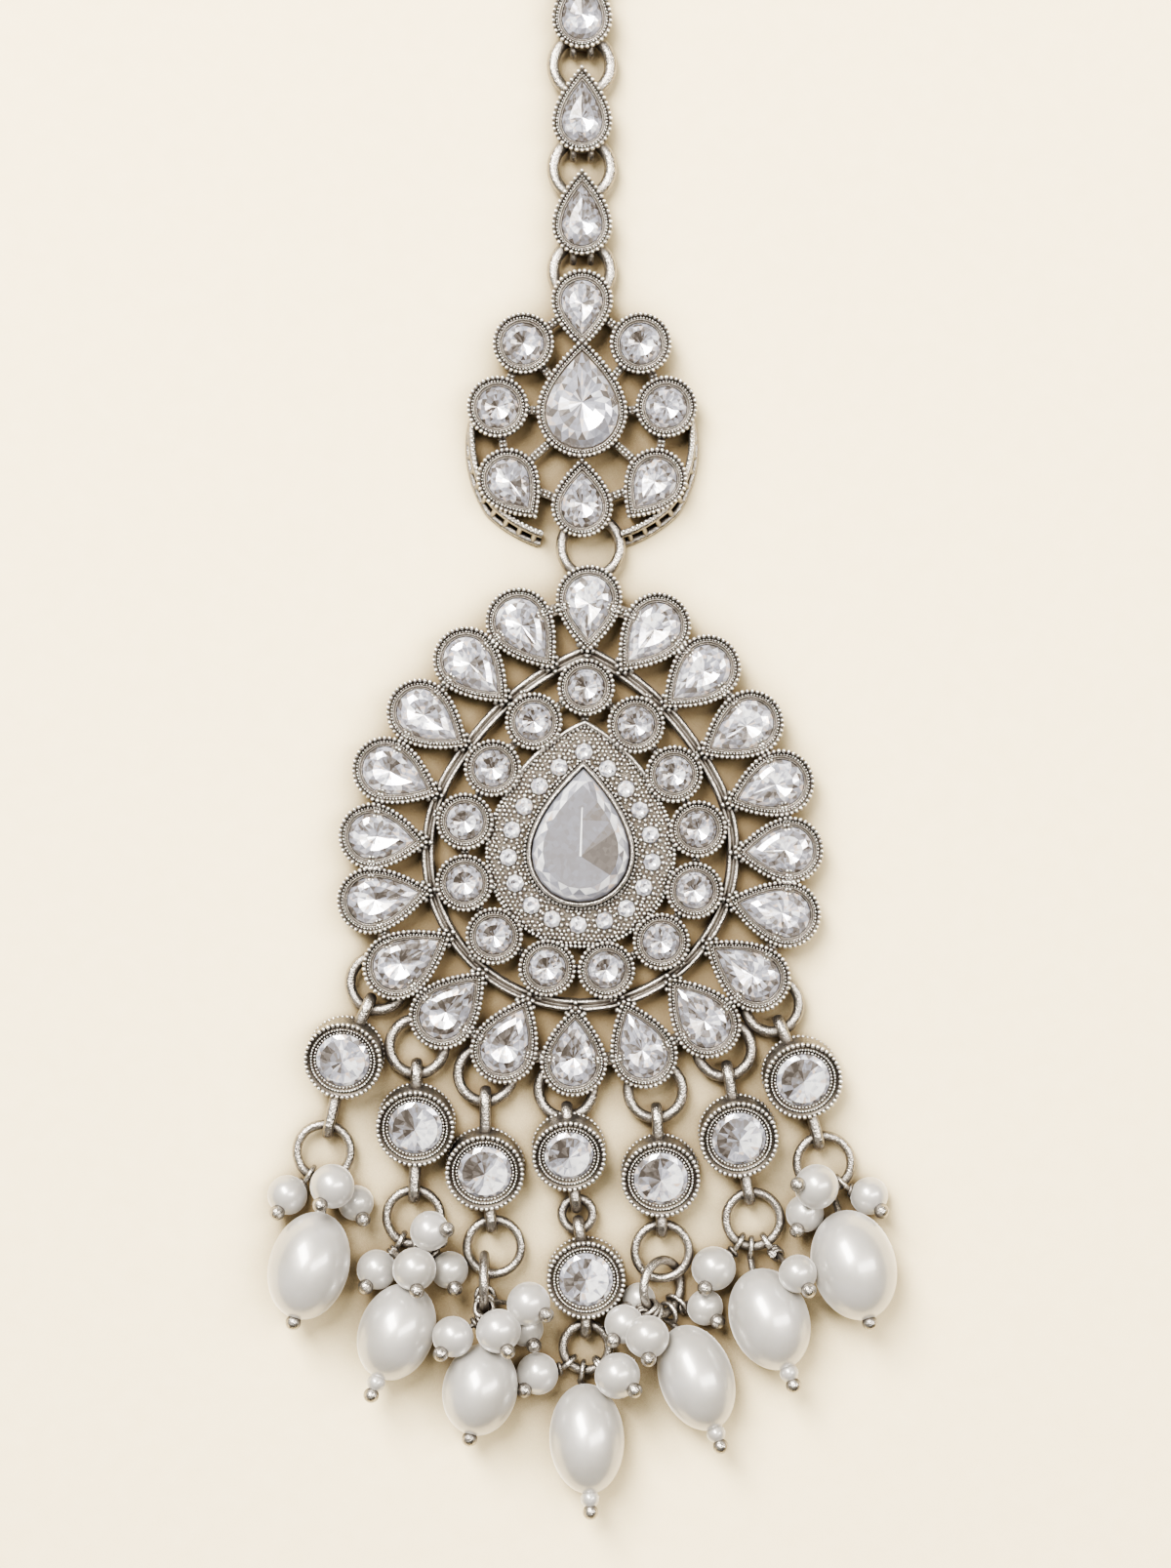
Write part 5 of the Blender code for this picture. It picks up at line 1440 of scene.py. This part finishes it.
# %% The paper
PAPER = 0.9
mesh = bpy.data.meshes.new("paper")
mesh.from_pydata([(-PAPER, -PAPER, 0), (PAPER, -PAPER, 0), (PAPER, PAPER, 0), (-PAPER, PAPER, 0)],
                 [], [(0, 1, 2, 3)])
paper = bpy.data.objects.new("paper", mesh)
paper.location.z = -0.00002
bpy.context.scene.collection.objects.link(paper)
stock, tree, shader = finish("warm white paper")
fibre = noise(tree, (-650, 0), 520.0, 5.0)
cream = ramp(tree, (-400, 100), fibre, ((0.3, (0.79, 0.645, 0.36)), (0.7, (0.82, 0.675, 0.39))))
covered = node(tree, "ShaderNodeAmbientOcclusion", (-400, 400), {"Distance": 0.008}, samples=8)
open_sky = between(tree, (-200, 400), covered.outputs["AO"], 0.0, 1.0, 0.3, 0.9)
shaded = node(tree, "ShaderNodeMix", (-50, 250),
              {0: open_sky, 6: (0.095, 0.064, 0.028, 1.0), 7: cream}, data_type="RGBA")
connect(tree, shader, {"Roughness": 0.85, "Specular IOR Level": 0.2,
                       "Base Color": shaded.outputs[2],
                       "Normal": relief(tree, (-200, -200), fibre, 0.15, 0.0002)})
mesh.materials.append(stock)
print("paper, m wide:", 2 * PAPER)

# %% [markdown]
# The light is one broad soft source above and to the upper left, so that the shadows are short,
# soft and warm and fall to the lower right, and a weak one from the right that keeps them open.
# The surroundings are brighter on the same side. Polished metal is only what it mirrors, so an
# even grey room would make it flat.

# %% The room round the piece
world = bpy.data.worlds.new("soft studio")
bpy.context.scene.world = world
world.use_nodes = True
tree = world.node_tree
where = node(tree, "ShaderNodeTexCoord", (-900, 0))
side = node(tree, "ShaderNodeVectorMath", (-700, 0),
            {0: where.outputs["Generated"], 1: (-0.45, 0.62, 0.64)}, operation="DOT_PRODUCT")
fade = ramp(tree, (-450, 0),
            between(tree, (-600, -150), side.outputs["Value"], 0.0, 1.0, -0.6, 1.0),
            ((0.0, (0.06, 0.05, 0.04)), (0.4, (0.20, 0.18, 0.155)),
             (0.7, (0.75, 0.72, 0.68)), (1.0, (1.0, 0.98, 0.95))))
connect(tree, tree.nodes["Background"], {"Color": fade, "Strength": 1.05})


# %% The two softboxes
def soft_light(name, place, aim, size, power, colour):
    """A softbox, tall along the piece, so that a round thing shows a long highlight."""
    data = bpy.data.lights.new(name, "AREA")
    data.shape = "RECTANGLE"
    data.size, data.size_y = size
    data.energy = power
    data.color = colour
    obj = bpy.data.objects.new(name, data)
    obj.location = place
    obj.rotation_euler = (Vector(aim) - Vector(place)).to_track_quat("-Z", "Y").to_euler()
    bpy.context.scene.collection.objects.link(obj)
    return obj


soft_light("broad light", (-0.19, 0.30, 0.54), (0, 0.01, 0), (0.22, 0.44), 32.0, (1.0, 0.965, 0.91))
soft_light("fill light", (0.30, 0.06, 0.48), (0, 0, 0), (0.14, 0.5), 8.0, (1.0, 0.95, 0.88))

# %% [markdown]
# The camera looks straight down with a long lens, so that cups and pearls at the edge lean no
# more than those in the middle.

# %% The camera, straight above
lens = bpy.data.cameras.new("overhead")
lens.sensor_fit = "HORIZONTAL"
lens.sensor_width = 36.0
lens.lens = 113.4
lens.clip_start = 0.01
camera = bpy.data.objects.new("overhead", lens)
camera.location = MIDDLE + Vector((0.476, 6.667, 360.0)) * MM
bpy.context.scene.collection.objects.link(camera)
bpy.context.scene.camera = camera
print("lens, mm:", round(lens.lens, 1))
